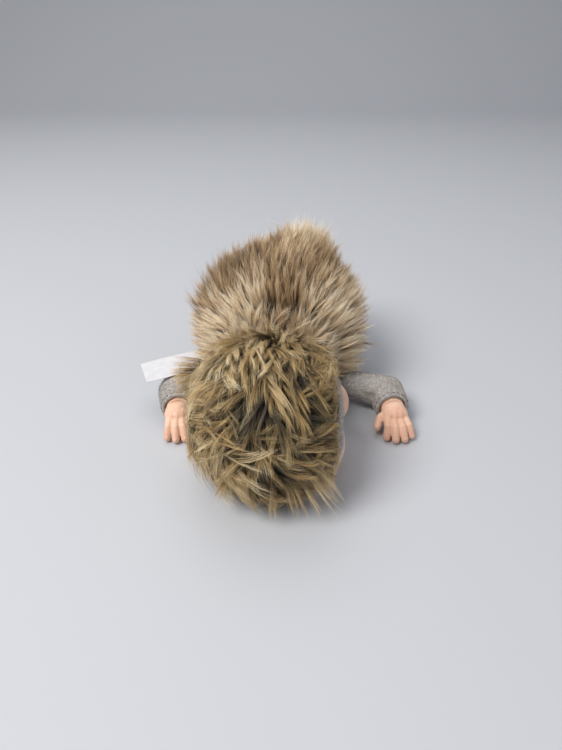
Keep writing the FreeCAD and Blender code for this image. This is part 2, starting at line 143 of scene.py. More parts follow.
def make_studio():
    area_light("key", (-0.55, -0.45, 0.95), LAMPS_AIM, 0.6, 11.5, (1.0, 0.98, 0.95))
    area_light("fill", (0.85, -0.5, 0.6), LAMPS_AIM, 0.9, 0.6, (0.95, 0.97, 1.0))
    area_light("top", (-0.1, 0.45, 1.0), (0, 0, 0.03), 0.9, 3.0)
    world = bpy.data.worlds.new("world")
    bpy.context.scene.world = world
    world.use_nodes = True
    background = world.node_tree.nodes["Background"]
    background.inputs["Color"].default_value = SKY_COLOUR
    background.inputs["Strength"].default_value = SKY_STRENGTH


def make_floor():
    """A floor that curves up into a backdrop, in one sheet."""
    reach, rear, radius, height, turns = 2.5, 0.9, 0.6, 2.2, 24
    profile = [(-reach, 0.0), (rear, 0.0)]
    for i in range(1, turns + 1):
        a = math.pi / 2 * i / turns
        profile.append((rear + radius * math.sin(a), radius * (1 - math.cos(a))))
    profile.append((rear + radius, height))
    verts = [(x, y, z) for x in (-reach, reach) for y, z in profile]
    n = len(profile)
    faces = [(i, i + n, i + n + 1, i + 1) for i in range(n - 1)]
    mesh = bpy.data.meshes.new("floor")
    mesh.from_pydata(verts, [], faces)
    mesh.shade_smooth()
    floor = linked("floor", mesh)
    material = bpy.data.materials.new("floor_paint")
    material.use_nodes = True
    shader = material.node_tree.nodes["Principled BSDF"]
    shader.inputs["Base Color"].default_value = FLOOR_COLOUR
    shader.inputs["Roughness"].default_value = 0.55
    shader.inputs["Specular IOR Level"].default_value = 0.25
    mesh.materials.append(material)


# ---------------------------------------------------------------- materials
class Paint:
    """A principled material with short calls for its nodes."""

    def __init__(self, name, roughness, **sockets):
        self.material = bpy.data.materials.new(name)
        self.material.use_nodes = True
        self.tree = self.material.node_tree
        self.shader = self.tree.nodes["Principled BSDF"]
        self.shader.inputs["Roughness"].default_value = roughness
        for socket, value in sockets.items():
            self.shader.inputs[socket.replace("_", " ")].default_value = value

    def node(self, kind, **values):
        made = self.tree.nodes.new(kind)
        for name, value in values.items():
            if hasattr(made, name):
                setattr(made, name, value)
            else:
                made.inputs[name.replace("_", " ")].default_value = value
        return made

    def link(self, source, target):
        self.tree.links.new(source, target)

    def place(self):
        """Object coordinates."""
        return self.node("ShaderNodeTexCoord").outputs["Object"]

    def noise(self, vector, scale, detail=3.0, rough=0.5):
        made = self.node("ShaderNodeTexNoise", Scale=scale, Detail=detail, Roughness=rough)
        self.link(vector, made.inputs["Vector"])
        return made.outputs["Fac"]

    def ramp(self, factor, stops, interpolation="LINEAR"):
        made = self.node("ShaderNodeValToRGB")
        made.color_ramp.interpolation = interpolation
        elements = made.color_ramp.elements
        while len(elements) < len(stops):
            elements.new(0.5)
        for element, (position, colour) in zip(elements, stops):
            element.position = position
            element.color = (*colour, 1)
        self.link(factor, made.inputs["Fac"])
        return made.outputs["Color"]

    def mix(self, factor, first, second, blend="MIX"):
        made = self.node("ShaderNodeMix", data_type="RGBA", blend_type=blend)
        for socket, value in ((made.inputs["Factor"], factor), (made.inputs[6], first), (made.inputs[7], second)):
            if isinstance(value, bpy.types.NodeSocket):
                self.link(value, socket)
            elif isinstance(value, (int, float)):
                socket.default_value = value
            else:
                socket.default_value = (*value, 1)
        return made.outputs[2]

    def math(self, operation, first, second=0.0):
        made = self.node("ShaderNodeMath", operation=operation)
        for socket, value in zip(made.inputs, (first, second)):
            if isinstance(value, bpy.types.NodeSocket):
                self.link(value, socket)
            else:
                socket.default_value = value
        return made.outputs[0]

    def colour(self, socket):
        self.link(socket, self.shader.inputs["Base Color"])

    def roughness(self, socket):
        self.link(socket, self.shader.inputs["Roughness"])

    def bump(self, height, strength, distance):
        made = self.node("ShaderNodeBump", Strength=strength, Distance=distance)
        self.link(height, made.inputs["Height"])
        self.link(made.outputs["Normal"], self.shader.inputs["Normal"])


def linear(red, green, blue):
    """A colour given in ordinary 0 to 255 values, as the shaders take it."""
    return tuple((c / 255 / 12.92) if c <= 10 else ((c / 255 + 0.055) / 1.055) ** 2.4 for c in (red, green, blue))


def fur_material(name, roots, middles, tips):
    """Pile: across the map the strand's own tone, up the map from its root to its tip."""
    paint = Paint(name, 0.5, Specular_IOR_Level=0.4, Sheen_Weight=0.1, Sheen_Roughness=0.4)
    strand = paint.node("ShaderNodeUVMap", uv_map="OFBake")
    split = paint.node("ShaderNodeSeparateXYZ")
    paint.link(strand.outputs["UV"], split.inputs[0])
    tone, along = split.outputs[0], split.outputs[1]
    shades = []
    for colours in (roots, middles, tips):
        stops = [(i / (len(colours) - 1), linear(*c)) for i, c in enumerate(colours)]
        shades.append(paint.ramp(tone, stops))
    lower = paint.ramp(along, [(0.22, (0, 0, 0)), (0.62, (1, 1, 1))], "EASE")
    upper = paint.ramp(along, [(0.6, (0, 0, 0)), (0.95, (1, 1, 1))], "EASE")
    body = paint.mix(lower, shades[0], shades[1])
    paint.colour(paint.mix(upper, body, shades[2]))
    return paint.material


def velour_material(name, dark, light):
    """Short-nap heather velour: fine pale and dark fibres over a soft mottle, with the nap's sheen."""
    paint = Paint(name, 0.9, Specular_IOR_Level=0.12, Sheen_Weight=0.35, Sheen_Roughness=0.5)
    place = paint.place()
    fibre = paint.noise(place, 2300, 2.0, 0.7)
    mottle = paint.noise(place, 420, 3.0, 0.6)
    wear = paint.noise(place, 60, 2.0, 0.5)
    base = paint.ramp(fibre, [(0.34, linear(*dark)), (0.66, linear(*light))])
    soft = paint.ramp(mottle, [(0.3, (0.72, 0.72, 0.74)), (0.7, (1.0, 0.99, 0.97))])
    tint = paint.ramp(wear, [(0.35, (0.9, 0.9, 0.92)), (0.65, (1.0, 1.0, 1.0))])
    paint.colour(paint.mix(1.0, paint.mix(1.0, base, soft, "MULTIPLY"), tint, "MULTIPLY"))
    paint.bump(paint.math("ADD", fibre, paint.math("MULTIPLY", mottle, 1.5)), 0.55, 0.0005)
    return paint.material


def vinyl_material(name):
    """Soft matte vinyl; a point attribute carries the sprayed red of cheeks and lips and painted shade in creases and
    pits.
    """
    paint = Paint(name, 0.46, Specular_IOR_Level=0.4, Subsurface_Weight=0.18, Subsurface_Scale=0.003)
    paint.shader.inputs["Subsurface Radius"].default_value = (1.0, 0.35, 0.2)
    place = paint.place()
    cloud = paint.noise(place, 90, 3.0, 0.5)
    base = paint.ramp(cloud, [(0.35, linear(236, 190, 162)), (0.65, linear(243, 204, 178))])
    blush_and_shade = paint.node("ShaderNodeAttribute", attribute_name="blush_and_shade")
    # the attribute mixes in sprayed red and painted shade of creases, dimples and pits
    paint.colour(paint.mix(blush_and_shade.outputs["Fac"], base, linear(208, 112, 88)))
    pores = paint.noise(place, 1500, 2.0, 0.5)
    paint.bump(pores, 0.12, 0.0002)
    paint.roughness(paint.ramp(cloud, [(0.3, (0.42, 0.42, 0.42)), (0.7, (0.52, 0.52, 0.52))]))
    return paint.material


def satin_material(name):
    paint = Paint(name, 0.38, Specular_IOR_Level=0.5, Sheen_Weight=0.15)
    weave = paint.node("ShaderNodeUVMap", uv_map="tape")
    ribs = paint.node("ShaderNodeTexWave", wave_type="BANDS", bands_direction="X", Scale=900.0, Distortion=0.3)
    paint.link(weave.outputs["UV"], ribs.inputs["Vector"])
    cloud = paint.noise(paint.place(), 160, 3.0, 0.6)
    paint.colour(paint.ramp(cloud, [(0.3, linear(220, 220, 225)), (0.7, linear(236, 236, 239))]))
    paint.bump(ribs.outputs["Fac"], 0.25, 0.0002)
    return paint.material


def plain_material(name, dark, light, scale, roughness, bump=0.2):
    """A quiet finish for small and inner pieces: two close shades in a fine mottle."""
    paint = Paint(name, roughness)
    place = paint.place()
    mottle = paint.noise(place, scale, 4.0, 0.6)
    paint.colour(paint.ramp(mottle, [(0.35, linear(*dark)), (0.65, linear(*light))]))
    paint.bump(mottle, bump, 0.0004)
    return paint.material


# ---------------------------------------------------------------- mesh helpers
def finish_piece(piece, material, body, replaced=()):
    piece.data.materials.clear()
    piece.data.materials.append(material)
    if body:
        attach(piece, body)
    if replaced:
        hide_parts(*replaced)
    return piece


def choose(*pieces):
    """Selects only these pieces and makes the first the active one."""
    bpy.ops.object.select_all(action="DESELECT")
    for piece in pieces:
        piece.select_set(True)
    bpy.context.view_layer.objects.active = pieces[0]


def apply_modifier(piece, kind, **settings):
    choose(piece)
    modifier = piece.modifiers.new(kind, kind)
    for name, value in settings.items():
        setattr(modifier, name, value)
    bpy.ops.object.modifier_apply(modifier=modifier.name)


def joined(objects, name):
    choose(*objects)
    if len(objects) > 1:
        bpy.ops.object.join()
    piece = bpy.context.view_layer.objects.active
    bpy.ops.object.transform_apply(location=True, rotation=True, scale=True)
    piece.name = name
    piece.data.name = name
    return piece


def ball(centre, radii, segments=24, rings=14):
    if isinstance(radii, (int, float)):
        radii = (radii, radii, radii)
    bpy.ops.mesh.primitive_uv_sphere_add(segments=segments, ring_count=rings, radius=1, location=centre)
    made = bpy.context.object
    made.scale = radii
    return made


@contextmanager
def editing():
    """Edit mode on the active piece, with all of it selected."""
    bpy.ops.object.mode_set(mode="EDIT")
    bpy.ops.mesh.select_all(action="SELECT")
    yield
    bpy.ops.object.mode_set(mode="OBJECT")


def face_outwards():
    """Turns the faces of the active piece outwards."""
    with editing():
        bpy.ops.mesh.normals_make_consistent(inside=False)


def cylinder(place, radius, depth, sides=64, turn=(math.radians(90), 0, 0)):
    """A cylinder about its middle, along y unless it is turned another way."""
    bpy.ops.mesh.primitive_cylinder_add(vertices=sides, radius=radius, depth=depth, location=place, rotation=turn)
    return bpy.context.object


def remeshed(objects, name, voxel, smoothing):
    piece = joined(objects, name)
    apply_modifier(piece, "REMESH", mode="VOXEL", voxel_size=voxel, use_smooth_shade=True)
    apply_modifier(piece, "SMOOTH", factor=0.5, iterations=smoothing)
    piece.data.shade_smooth()
    return piece


def coordinates(piece):
    mesh = piece.data
    points = np.empty(len(mesh.vertices) * 3)
    mesh.vertices.foreach_get("co", points)
    normals = np.empty(len(mesh.vertices) * 3)
    mesh.vertices.foreach_get("normal", normals)
    return points.reshape(-1, 3), normals.reshape(-1, 3)


def set_coordinates(piece, points):
    piece.data.vertices.foreach_set("co", points.ravel())
    piece.data.update()


def bell(v, width, power=2):
    """1 where v is 0, falling away softly past the width."""
    return np.exp(-(v / width) ** power)


def flattened(piece, lowest):
    """Lays the underside of a piece flat at a height."""
    p, _ = coordinates(piece)
    p[:, 2] = np.maximum(p[:, 2], lowest)
    set_coordinates(piece, p)


def moulded(piece, relief, blush_and_shade, factor, rounds, lowest=None):
    """Presses a relief in mm into a vinyl piece, sprays its blush and painted shade of creases and pits, and rounds
    it off.
    """
    p, n = coordinates(piece)
    set_coordinates(piece, p + n * (relief * MM)[:, None])
    # one attribute for sprayed blush and for painted shade in creases and pits
    layer = piece.data.attributes.new("blush_and_shade", "FLOAT", "POINT")
    layer.data.foreach_set("value", np.clip(blush_and_shade, 0, 1).astype(np.float32))
    if lowest is not None:
        flattened(piece, lowest)
    apply_modifier(piece, "SMOOTH", factor=factor, iterations=rounds)
    piece.data.shade_smooth()


# ---------------------------------------------------------------- pile
def unit(v):
    return v / np.maximum(np.linalg.norm(v, axis=-1, keepdims=True), 1e-12)


def body_normal(p):
    """The outward direction of the sewn body at points near it."""
    half = np.where(p[..., 1] < 0, BODY_FRONT, BODY_REAR)
    g = np.stack([p[..., 0] / BODY_R ** 2, p[..., 1] / half ** 2, (p[..., 2] - BODY_Z) / BODY_R ** 2], axis=-1)
    return unit(g)


def head_normal(p):
    return unit(p - np.array(HEAD))


def tangential(v, n):
    return unit(v - (v * n).sum(-1, keepdims=True) * n)


def turn_about(v, axis, angle):
    """Rodrigues' turn of vectors about unit axes."""
    c, s = np.cos(angle)[..., None], np.sin(angle)[..., None]
    return v * c + np.cross(axis, v) * s + axis * (axis * v).sum(-1, keepdims=True) * (1 - c)


def lock_lines(roots, normal_of, heading, length, lift, settle, curl, weight, points):
    """The middle line of each lock: it rises from its root, then settles towards the cloth, curls sideways
    and droops a little."""
    line = [roots]
    step = (length / (points - 1))[:, None]
    down = np.array((0.0, 0.0, -1.0))
    for k in range(points - 1):
        here = line[-1]
        n = normal_of(here)
        t = tangential(heading, n)
        t = turn_about(t, n, curl * (k / (points - 1)))
        rise = lift * (1 - settle * k / (points - 2))
        way = n * np.sin(rise)[:, None] + t * np.cos(rise)[:, None] + down * (weight * k / points)
        line.append(here + unit(way) * step)
    return np.stack(line, axis=1)


def locks(rng, lines, normal_of, count, radius, gather, fray, tone, width):
    """Strands of each lock: spread round its root, gathered towards its middle line at the tip."""
    guides, points = lines.shape[:2]
    which = np.repeat(np.arange(guides), count)
    n = normal_of(lines[:, 0])
    side = tangential(np.tile((0.31, 0.77, 0.55), (guides, 1)), n)
    other = np.cross(n, side)
    away = radius * np.sqrt(rng.random(len(which))) * rng.uniform(0.8, 1.25, guides)[which]
    angle = rng.uniform(0, 2 * np.pi, len(which))
    spread = side[which] * (away * np.cos(angle))[:, None] + other[which] * (away * np.sin(angle))[:, None]
    v = np.linspace(0, 1, points)
    pull = gather[which][:, None] * v ** 1.3
    reach = (1.14 - 0.28 * (away / radius) ** 2) * rng.uniform(0.84, 1.0, len(which))
    own = lines[which]
    body = own[:, :1] + (own - own[:, :1]) * reach[:, None, None]
    strands = body + spread[:, None, :] * (1 - pull)[..., None]
    loose = rng.normal(0, 1, (len(which), 3)) * (fray * rng.gamma(2.0, 0.5, len(which)))[:, None]
    strands += loose[:, None, :] * (v ** 1.6)[None, :, None]
    wave = rng.normal(0, 1, (len(which), 3)) * 0.25 * MM
    strands += wave[:, None, :] * np.sin(v * np.pi * 2)[None, :, None]
    shade = np.clip(tone[which] + rng.normal(0, 0.09, len(which)), 0.02, 0.98)
    thick = width * rng.uniform(0.7, 1.25, len(which))
    return strands, shade, thick


def blades(name, verts, faces, uv):
    """One piece of many small triangles, with its tone and length map."""
    mesh = bpy.data.meshes.new(name)
    mesh.vertices.add(verts.size // 3)
    mesh.vertices.foreach_set("co", verts.ravel())
    mesh.loops.add(faces.size)
    mesh.loops.foreach_set("vertex_index", faces.ravel().astype(np.int32))
    mesh.polygons.add(len(faces))
    mesh.polygons.foreach_set("loop_start", np.arange(0, faces.size, 3, dtype=np.int32))
    mesh.polygons.foreach_set("use_smooth", np.ones(len(faces), dtype=bool))
    mesh.update(calc_edges=True)
    layer = mesh.uv_layers.new(name="OFBake")
    layer.data.foreach_set("uv", uv[faces.ravel()].ravel().astype(np.float32))
    return linked(name, mesh)


def ribbons(name, rng, strands, shade, thick, normal_of, material, body):
    """One mesh of flat tapering strands, each with its own strip of the tone map."""
    count, points = strands.shape[:2]
    tangent = np.empty_like(strands)
    tangent[:, 1:-1] = strands[:, 2:] - strands[:, :-2]
    tangent[:, 0] = strands[:, 1] - strands[:, 0]
    tangent[:, -1] = strands[:, -1] - strands[:, -2]
    facing = normal_of(strands[:, 0]) + rng.normal(0, 0.55, (count, 3))
    across = unit(np.cross(tangent, facing[:, None, :]))
    v = np.linspace(0, 1, points)
    taper = (1 - 0.55 * v ** 2)[None, :, None] * thick[:, None, None] / 2
    left = strands - across * taper
    right = strands + across * taper
    per = 2 * points - 1
    verts = np.empty((count, per, 3))
    verts[:, 0:-1:2] = left[:, :-1]
    verts[:, 1::2] = right[:, :-1]
    verts[:, -1] = strands[:, -1]
    quads = points - 2
    base = (np.arange(count) * per)[:, None]
    tri = []
    for k in range(quads):
        tri += [(2 * k, 2 * k + 1, 2 * k + 3), (2 * k, 2 * k + 3, 2 * k + 2)]
    tri.append((2 * quads, 2 * quads + 1, 2 * quads + 2))
    tri = np.array(tri)
    faces = (base[:, :, None] + tri[None]).reshape(-1, 3)
    strip = 0.012
    u = np.empty((count, per))
    u[:, 0:-1:2] = shade[:, None] - strip
    u[:, 1::2] = shade[:, None] + strip
    u[:, -1] = shade
    height = np.empty(per)
    height[0:-1:2] = v[:-1]
    height[1::2] = v[:-1]
    height[-1] = 1
    uv = np.stack([u, np.tile(height, (count, 1))], axis=-1).reshape(-1, 2)
    finish_piece(blades(name, verts, faces, uv), material, body)


def push_out_of_ball(p, centre, radius):
    away = p - np.array(centre)
    distance = np.linalg.norm(away, axis=-1, keepdims=True)
    return np.where(distance < radius, np.array(centre) + away / np.maximum(distance, 1e-9) * radius, p)


def push_out_of_rod(p, a, b, ra, rb):
    """Moves points that lie inside a round limb to its surface."""
    a, b = np.array(a), np.array(b)
    along = b - a
    t = np.clip(((p - a) @ along) / (along @ along), 0, 1)
    middle = a + t[..., None] * along
    away = p - middle
    distance = np.linalg.norm(away, axis=-1)
    radius = ra + (rb - ra) * t
    inside = distance < radius
    moved = middle + away / np.maximum(distance, 1e-9)[..., None] * radius[..., None]
    return np.where(inside[..., None], moved, p)


def push_off_floor(p):
    """Strands that reach the table lie along it, each at its own height."""
    q = p.copy()
    lift = FLOOR_GAP + 0.9 * MM * (np.sin(p[..., :1, 0] * 9e3) * 0.5 + 0.5)
    q[..., 2] = np.maximum(q[..., 2], lift)
    return q


def scattered(count, sample, spacing):
    """Up to count places from sample(), each at least spacing from the others."""
    found = []
    grid = {}
    tries = 0
    while len(found) < count and tries < count * 40:
        tries += 1
        p = sample()
        if p is None:
            continue
        key = tuple(int(c // spacing) for c in p)
        near = (
            grid.get((key[0] + i, key[1] + j, key[2] + k), ())
            for i in (-1, 0, 1) for j in (-1, 0, 1) for k in (-1, 0, 1)
        )
        if any((p[0] - q[0]) ** 2 + (p[1] - q[1]) ** 2 + (p[2] - q[2]) ** 2 < spacing ** 2 for c in near for q in c):
            continue
        grid.setdefault(key, []).append(p)
        found.append(p)
    return np.array(found)


def patches(points, scale, seed):
    """Soft noise from -1 to 1 over points."""
    shift = Vector((seed * 7.1, seed * 3.7, seed * 1.9))
    return np.array([noise.noise(Vector(p) * scale + shift) for p in points]) * 1.6


def clear_of_limbs(p):
    """Moves strands out of both arms, from the shoulder to the wrist."""
    for name in SIDES:
        root, elbow = PIVOT[f"{name}_shoulder_swing"], PIVOT[f"{name}_elbow_bend"]
        axis = Vector(joint_axis(f"{name}_wrist_turn"))
        p = push_out_of_rod(p, root, elbow, 6.6 * MM, 9.2 * MM)
        p = push_out_of_rod(p, elbow, elbow + axis * 14 * MM, 9.2 * MM, 8.6 * MM)
        p = push_out_of_rod(p, elbow + axis * 14 * MM, elbow + axis * 24 * MM, 7.6 * MM, 5.5 * MM)
    return p


# how the back is combed: a place in mm, the way the pile runs there, its length in mm, its lift in degrees
# and its tone from dark to cream
BODY_SINK, BODY_LIFT = np.array((0.9, 0.94, 0.9)), np.array((0, 0, 3 * MM))
BODY_COMB = [
    ((15, 11, 60), (-0.10, 0.95, 0.0), 35, 55, 0.84), ((-2, -22, 61), (0.15, 0.96, 0.25), 20, 55, 0.42),
    ((-12, -12, 62), (0.21, 0.96, 0.16), 18, 50, 0.15), ((10, -27, 59), (0.14, 0.95, 0.27), 21, 48, 0.62),
    ((24, -1, 57), (-0.10, 0.95, 0.12), 20, 52, 0.30), ((18, -35, 50), (0.24, 0.90, 0.36), 21, 45, 0.66),
    ((31, -25, 38), (0.17, 0.93, 0.32), 23, 52, 0.74), ((31, -26, 25), (0.27, 0.96, -0.08), 22, 52, 0.66),
    ((-13, -36, 52), (0.10, 0.80, 0.50), 19, 50, 0.62), ((-24, -15, 54), (0.35, 0.58, 0.30), 20, 60, 0.18),
    ((-23, -27, 49), (0.30, 0.57, 0.40), 19, 60, 0.30), ((-32, -9, 44), (0.0, 0.62, 0.45), 23, 60, 0.36),
    ((-29, -26, 39), (-0.10, 0.57, 0.50), 23, 58, 0.50), ((-35, -10, 23), (0.02, 0.50, 0.30), 22, 55, 0.52),
    ((-32, -24, 27), (-0.15, 0.68, -0.45), 20, 52, 0.56), ((-18, -43, 40), (-0.76, 0.41, 0.26), 20, 58, 0.92),
    ((-23, -38, 40), (-0.68, 0.35, -0.49), 20, 54, 0.96), ((-12, -44, 45), (-0.46, 0.53, 0.48), 18, 60, 0.82),
    ((14, -46, 41), (0.74, 0.54, 0.21), 21, 52, 0.92), ((15, -44, 36), (0.88, 0.38, 0.16), 20, 48, 0.92),
    ((-4, -44, 46), (-0.19, 0.56, 0.53), 17, 60, 0.30), ((3, -42, 48), (0.23, 0.61, 0.59), 19, 56, 0.42),
    ((31, -29, 24), (-0.14, 0.54, -0.83), 20, 36, 0.62), ((14, 5, 62), (-0.12, 0.95, 0.0), 33, 55, 0.82),
    ((27, -18, 50), (-0.08, 0.94, 0.33), 22, 52, 0.55), ((2, -39, 53), (0.12, 0.85, 0.52), 21, 46, 0.56),
    ((-6, 8, 63), (0.10, 0.90, 0.10), 19, 52, 0.50), ((29, 10, 52), (-0.20, 0.90, 0.10), 18, 50, 0.48),
    ((0, 26, 58), (0.0, 0.9, 0.0), 19, 50, 0.50), ((20, 26, 54), (-0.1, 0.9, 0.0), 19, 50, 0.50),
]
# the same for the hood, its places as directions from the middle of the skull
HEAD_COMB = [
    ((-0.20, 0.16, 0.97), (0.16, -0.99, -0.04), 22, 30, 0.50),
    ((0.06, -0.37, 0.93), (0.25, -0.77, -0.58), 23, 28, 0.52),
    ((-0.36, 0.21, 0.91), (-0.40, -0.89, -0.21), 20, 30, 0.80),
    ((-0.31, -0.38, 0.87), (-0.82, -0.04, -0.57), 24, 28, 0.52),
    ((-0.85, 0.20, 0.45), (-0.80, 0.20, -0.50), 26, 36, 0.66),
    ((0.13, -0.66, 0.74), (-0.99, -0.03, -0.17), 20, 25, 0.42),
    ((0.09, -0.84, 0.53), (-0.98, 0.06, -0.19), 19, 18, 0.12),
    ((-0.44, -0.73, 0.52), (-0.72, 0.68, -0.11), 18, 26, 0.62),
    ((-0.44, -0.84, 0.32), (-0.86, 0.24, -0.35), 23, 34, 0.52),
    ((-0.48, -0.87, 0.09), (0.75, -0.23, -0.52), 20, 30, 0.60),
    ((-0.72, -0.66, -0.13), (0.34, -0.53, -0.79), 21, 32, 0.66),
    ((-0.93, -0.25, -0.08), (-0.50, -0.30, -0.75), 25, 42, 0.48),
    ((-0.45, -0.86, -0.25), (-0.35, -0.50, -0.78), 26, 42, 0.56),
    ((0.06, -0.96, -0.28), (0.05, -0.35, -0.90), 24, 38, 0.28),
    ((0.13, -0.95, 0.05), (0.50, 0.20, 0.40), 13, 35, 0.42),
    ((0.40, -0.88, -0.25), (0.25, -0.45, -0.85), 26, 42, 0.55),
    ((0.58, -0.80, -0.20), (0.40, -0.30, -0.87), 28, 44, 0.78),
    ((0.36, -0.93, 0.01), (0.75, 0.55, 0.17), 17, 34, 0.38), ((0.22, -0.79, 0.57), (0.82, 0.13, -0.56), 18, 34, 0.34),
    ((0.41, -0.70, 0.58), (0.36, 0.85, 0.37), 17, 38, 0.40), ((0.53, -0.49, 0.69), (0.60, 0.76, -0.25), 15, 36, 0.40),
    ((0.18, -0.05, 0.98), (0.37, -0.86, -0.35), 17, 28, 0.25),
    ((0.56, -0.45, 0.70), (-0.05, 0.95, 0.31), 15, 36, 0.42),
    ((-0.02, -0.65, 0.76), (0.41, -0.52, -0.75), 22, 26, 0.40),
    ((0.09, -0.88, 0.47), (0.51, -0.13, -0.85), 18, 28, 0.25),
]

# single wisps that stand out of the pile, written in the same way
BODY_WISPS = [
    ((15, 12, 64), (-0.18, 0.95, 0.0), 36, 56, 0.96), ((19, 11, 62), (-0.05, 0.95, 0.0), 34, 56, 0.90),
    ((10, 13, 65), (-0.20, 0.95, 0.0), 32, 55, 0.86), ((14, 7, 64), (-0.10, 0.95, 0.0), 35, 56, 0.93),
    ((12, -52, 35), (0.84, 0.47, 0.28), 25, 34, 0.96), ((14, -51, 31), (0.82, 0.49, 0.29), 25, 32, 0.92),
    ((12, -50, 41), (0.70, 0.56, 0.45), 21, 36, 0.96), ((16, -46, 43), (0.69, 0.67, 0.27), 17, 38, 0.92),
    ((18, -48, 36), (0.66, 0.64, 0.39), 20, 34, 0.85), ((25, -42, 29), (0.38, 0.49, -0.79), 30, 26, 0.88),
    ((24, -42, 23), (0.45, 0.72, -0.52), 28, 26, 0.74), ((-22, -45, 34), (-0.53, 0.63, 0.57), 22, 40, 0.96),
    ((-20, -46, 39), (-0.24, 0.53, 0.81), 22, 42, 0.92), ((-14, -46, 45), (0.19, 0.45, 0.87), 20, 46, 0.92),
    ((-11, -46, 47), (-0.46, 0.67, 0.58), 17, 44, 0.88), ((-28, -37, 27), (-0.45, 0.58, 0.68), 15, 38, 0.88),
    ((-17, -48, 37), (-0.61, 0.63, 0.49), 18, 40, 0.96), ((5, -33, 60), (0.40, 0.84, 0.38), 17, 44, 0.88),
    ((13, -33, 58), (0.63, 0.77, 0.14), 19, 44, 0.90), ((-2, -19, 66), (-0.15, 0.96, 0.24), 15, 46, 0.88),
    ((22, -22, 57), (0.47, 0.88, -0.03), 21, 42, 0.80), ((-12, -36, 57), (-0.13, 0.86, 0.49), 15, 46, 0.66),
    ((15, -19, 62), (0.21, 0.96, 0.18), 17, 46, 0.85), ((4, -9, 67), (0.29, 0.95, 0.08), 16, 48, 0.88),
    ((-6, -35, 59), (0.02, 0.86, 0.51), 15, 44, 0.62),
]
HEAD_WISPS = [
    ((0.24, -0.95, -0.20), (0.28, 0.26, -0.92), 25, 30, 0.62),
    ((0.65, -0.75, 0.10), (0.22, 0.06, -0.97), 17, 28, 0.78),
    ((-0.58, -0.81, 0.04), (-0.78, 0.54, -0.32), 20, 26, 0.80),
    ((-0.56, -0.82, -0.09), (-0.74, 0.55, -0.38), 18, 26, 0.62),
    ((-0.52, -0.80, -0.29), (-0.67, 0.60, -0.45), 17, 26, 0.60),
    ((-0.28, -0.93, -0.25), (-0.66, 0.37, -0.65), 17, 28, 0.70),
    ((-0.18, -0.89, -0.42), (-0.62, 0.43, -0.65), 17, 28, 0.62),
    ((-0.02, -0.92, -0.40), (-0.18, 0.39, -0.90), 21, 28, 0.60),
    ((-0.67, -0.30, 0.68), (-0.74, 0.29, -0.60), 23, 30, 0.86),
    ((-0.71, -0.16, 0.69), (-0.69, 0.39, -0.61), 20, 30, 0.80),
    ((-0.69, -0.38, 0.61), (-0.72, 0.31, -0.62), 19, 26, 0.70),
    ((0.06, 0.01, 1.00), (0.62, 0.78, -0.04), 16, 40, 0.96),
    ((0.03, -0.02, 1.00), (0.97, -0.25, -0.04), 18, 32, 0.84),
    ((0.05, -0.84, 0.54), (0.65, -0.38, -0.65), 20, 22, 0.97),
    ((-0.20, -0.29, 0.94), (0.46, -0.87, -0.18), 32, 24, 0.84),
    ((-0.27, -0.47, 0.84), (0.04, 0.86, 0.50), 17, 34, 0.62),
    ((-0.10, -0.48, 0.87), (-0.11, 0.88, 0.47), 16, 34, 0.58),
    ((-0.38, -0.30, 0.88), (0.35, 0.83, 0.43), 12, 32, 0.60),
    ((-0.88, -0.33, 0.33), (0.46, -0.75, 0.48), 21, 26, 0.97),
    ((-0.70, -0.49, 0.52), (0.63, -0.76, 0.13), 23, 22, 0.62),
    ((-0.71, -0.70, -0.04), (0.68, -0.71, 0.18), 32, 26, 0.97),
    ((-0.68, -0.67, -0.30), (0.72, -0.69, -0.07), 21, 26, 0.85),
    ((-0.85, -0.53, -0.00), (0.42, -0.66, 0.62), 32, 24, 0.62),
    ((-0.90, -0.40, 0.16), (0.42, -0.72, 0.55), 28, 24, 0.60),
    ((0.25, -0.72, 0.64), (0.73, 0.58, 0.37), 13, 28, 0.70), ((0.57, -0.64, 0.52), (0.75, 0.14, -0.64), 12, 24, 0.62),
    ((0.46, -0.82, 0.34), (0.86, 0.33, -0.38), 14, 24, 0.66),
    ((0.53, -0.83, -0.20), (0.64, 0.23, 0.74), 12, 26, 0.66),
    ((0.45, -0.82, -0.34), (0.37, -0.17, 0.91), 16, 28, 0.60),
    ((-0.06, -0.73, 0.68), (0.97, -0.20, -0.12), 15, 22, 0.60),
    ((-0.26, -0.95, 0.16), (0.95, -0.29, -0.15), 19, 26, 0.70),
    ((0.18, -0.67, -0.72), (0.98, 0.09, 0.16), 12, 28, 0.70),
    ((-0.36, -0.89, 0.27), (0.93, -0.36, 0.05), 20, 24, 0.60),
    ((-0.21, -0.80, -0.57), (0.17, -0.40, -0.90), 12, 52, 0.70),
    ((-0.32, -0.77, -0.55), (-0.19, -0.26, -0.95), 12, 51, 0.62),
    ((-0.57, -0.61, -0.56), (-0.11, -0.15, -0.98), 11, 44, 0.62),
    ((-0.73, -0.41, -0.54), (-0.64, 0.35, -0.69), 17, 44, 0.70),
    ((-0.85, -0.00, -0.53), (-0.71, 0.54, -0.46), 25, 57, 0.85),
    ((-0.83, -0.14, -0.54), (-0.68, 0.47, -0.56), 20, 53, 0.70),
    ((-0.80, 0.30, 0.52), (-0.86, 0.33, -0.38), 27, 28, 0.90),
    ((-0.74, 0.25, 0.62), (-0.90, 0.30, -0.30), 28, 30, 0.85),
    ((-0.84, 0.38, 0.38), (-0.85, 0.40, -0.35), 26, 28, 0.80),
    ((-0.70, 0.38, 0.60), (-0.88, 0.36, -0.25), 28, 30, 0.72),
    ((-0.78, 0.30, 0.56), (-0.90, 0.30, -0.30), 29, 26, 0.76),
    ((-0.82, 0.24, 0.50), (-0.88, 0.34, -0.34), 26, 24, 0.88),
]
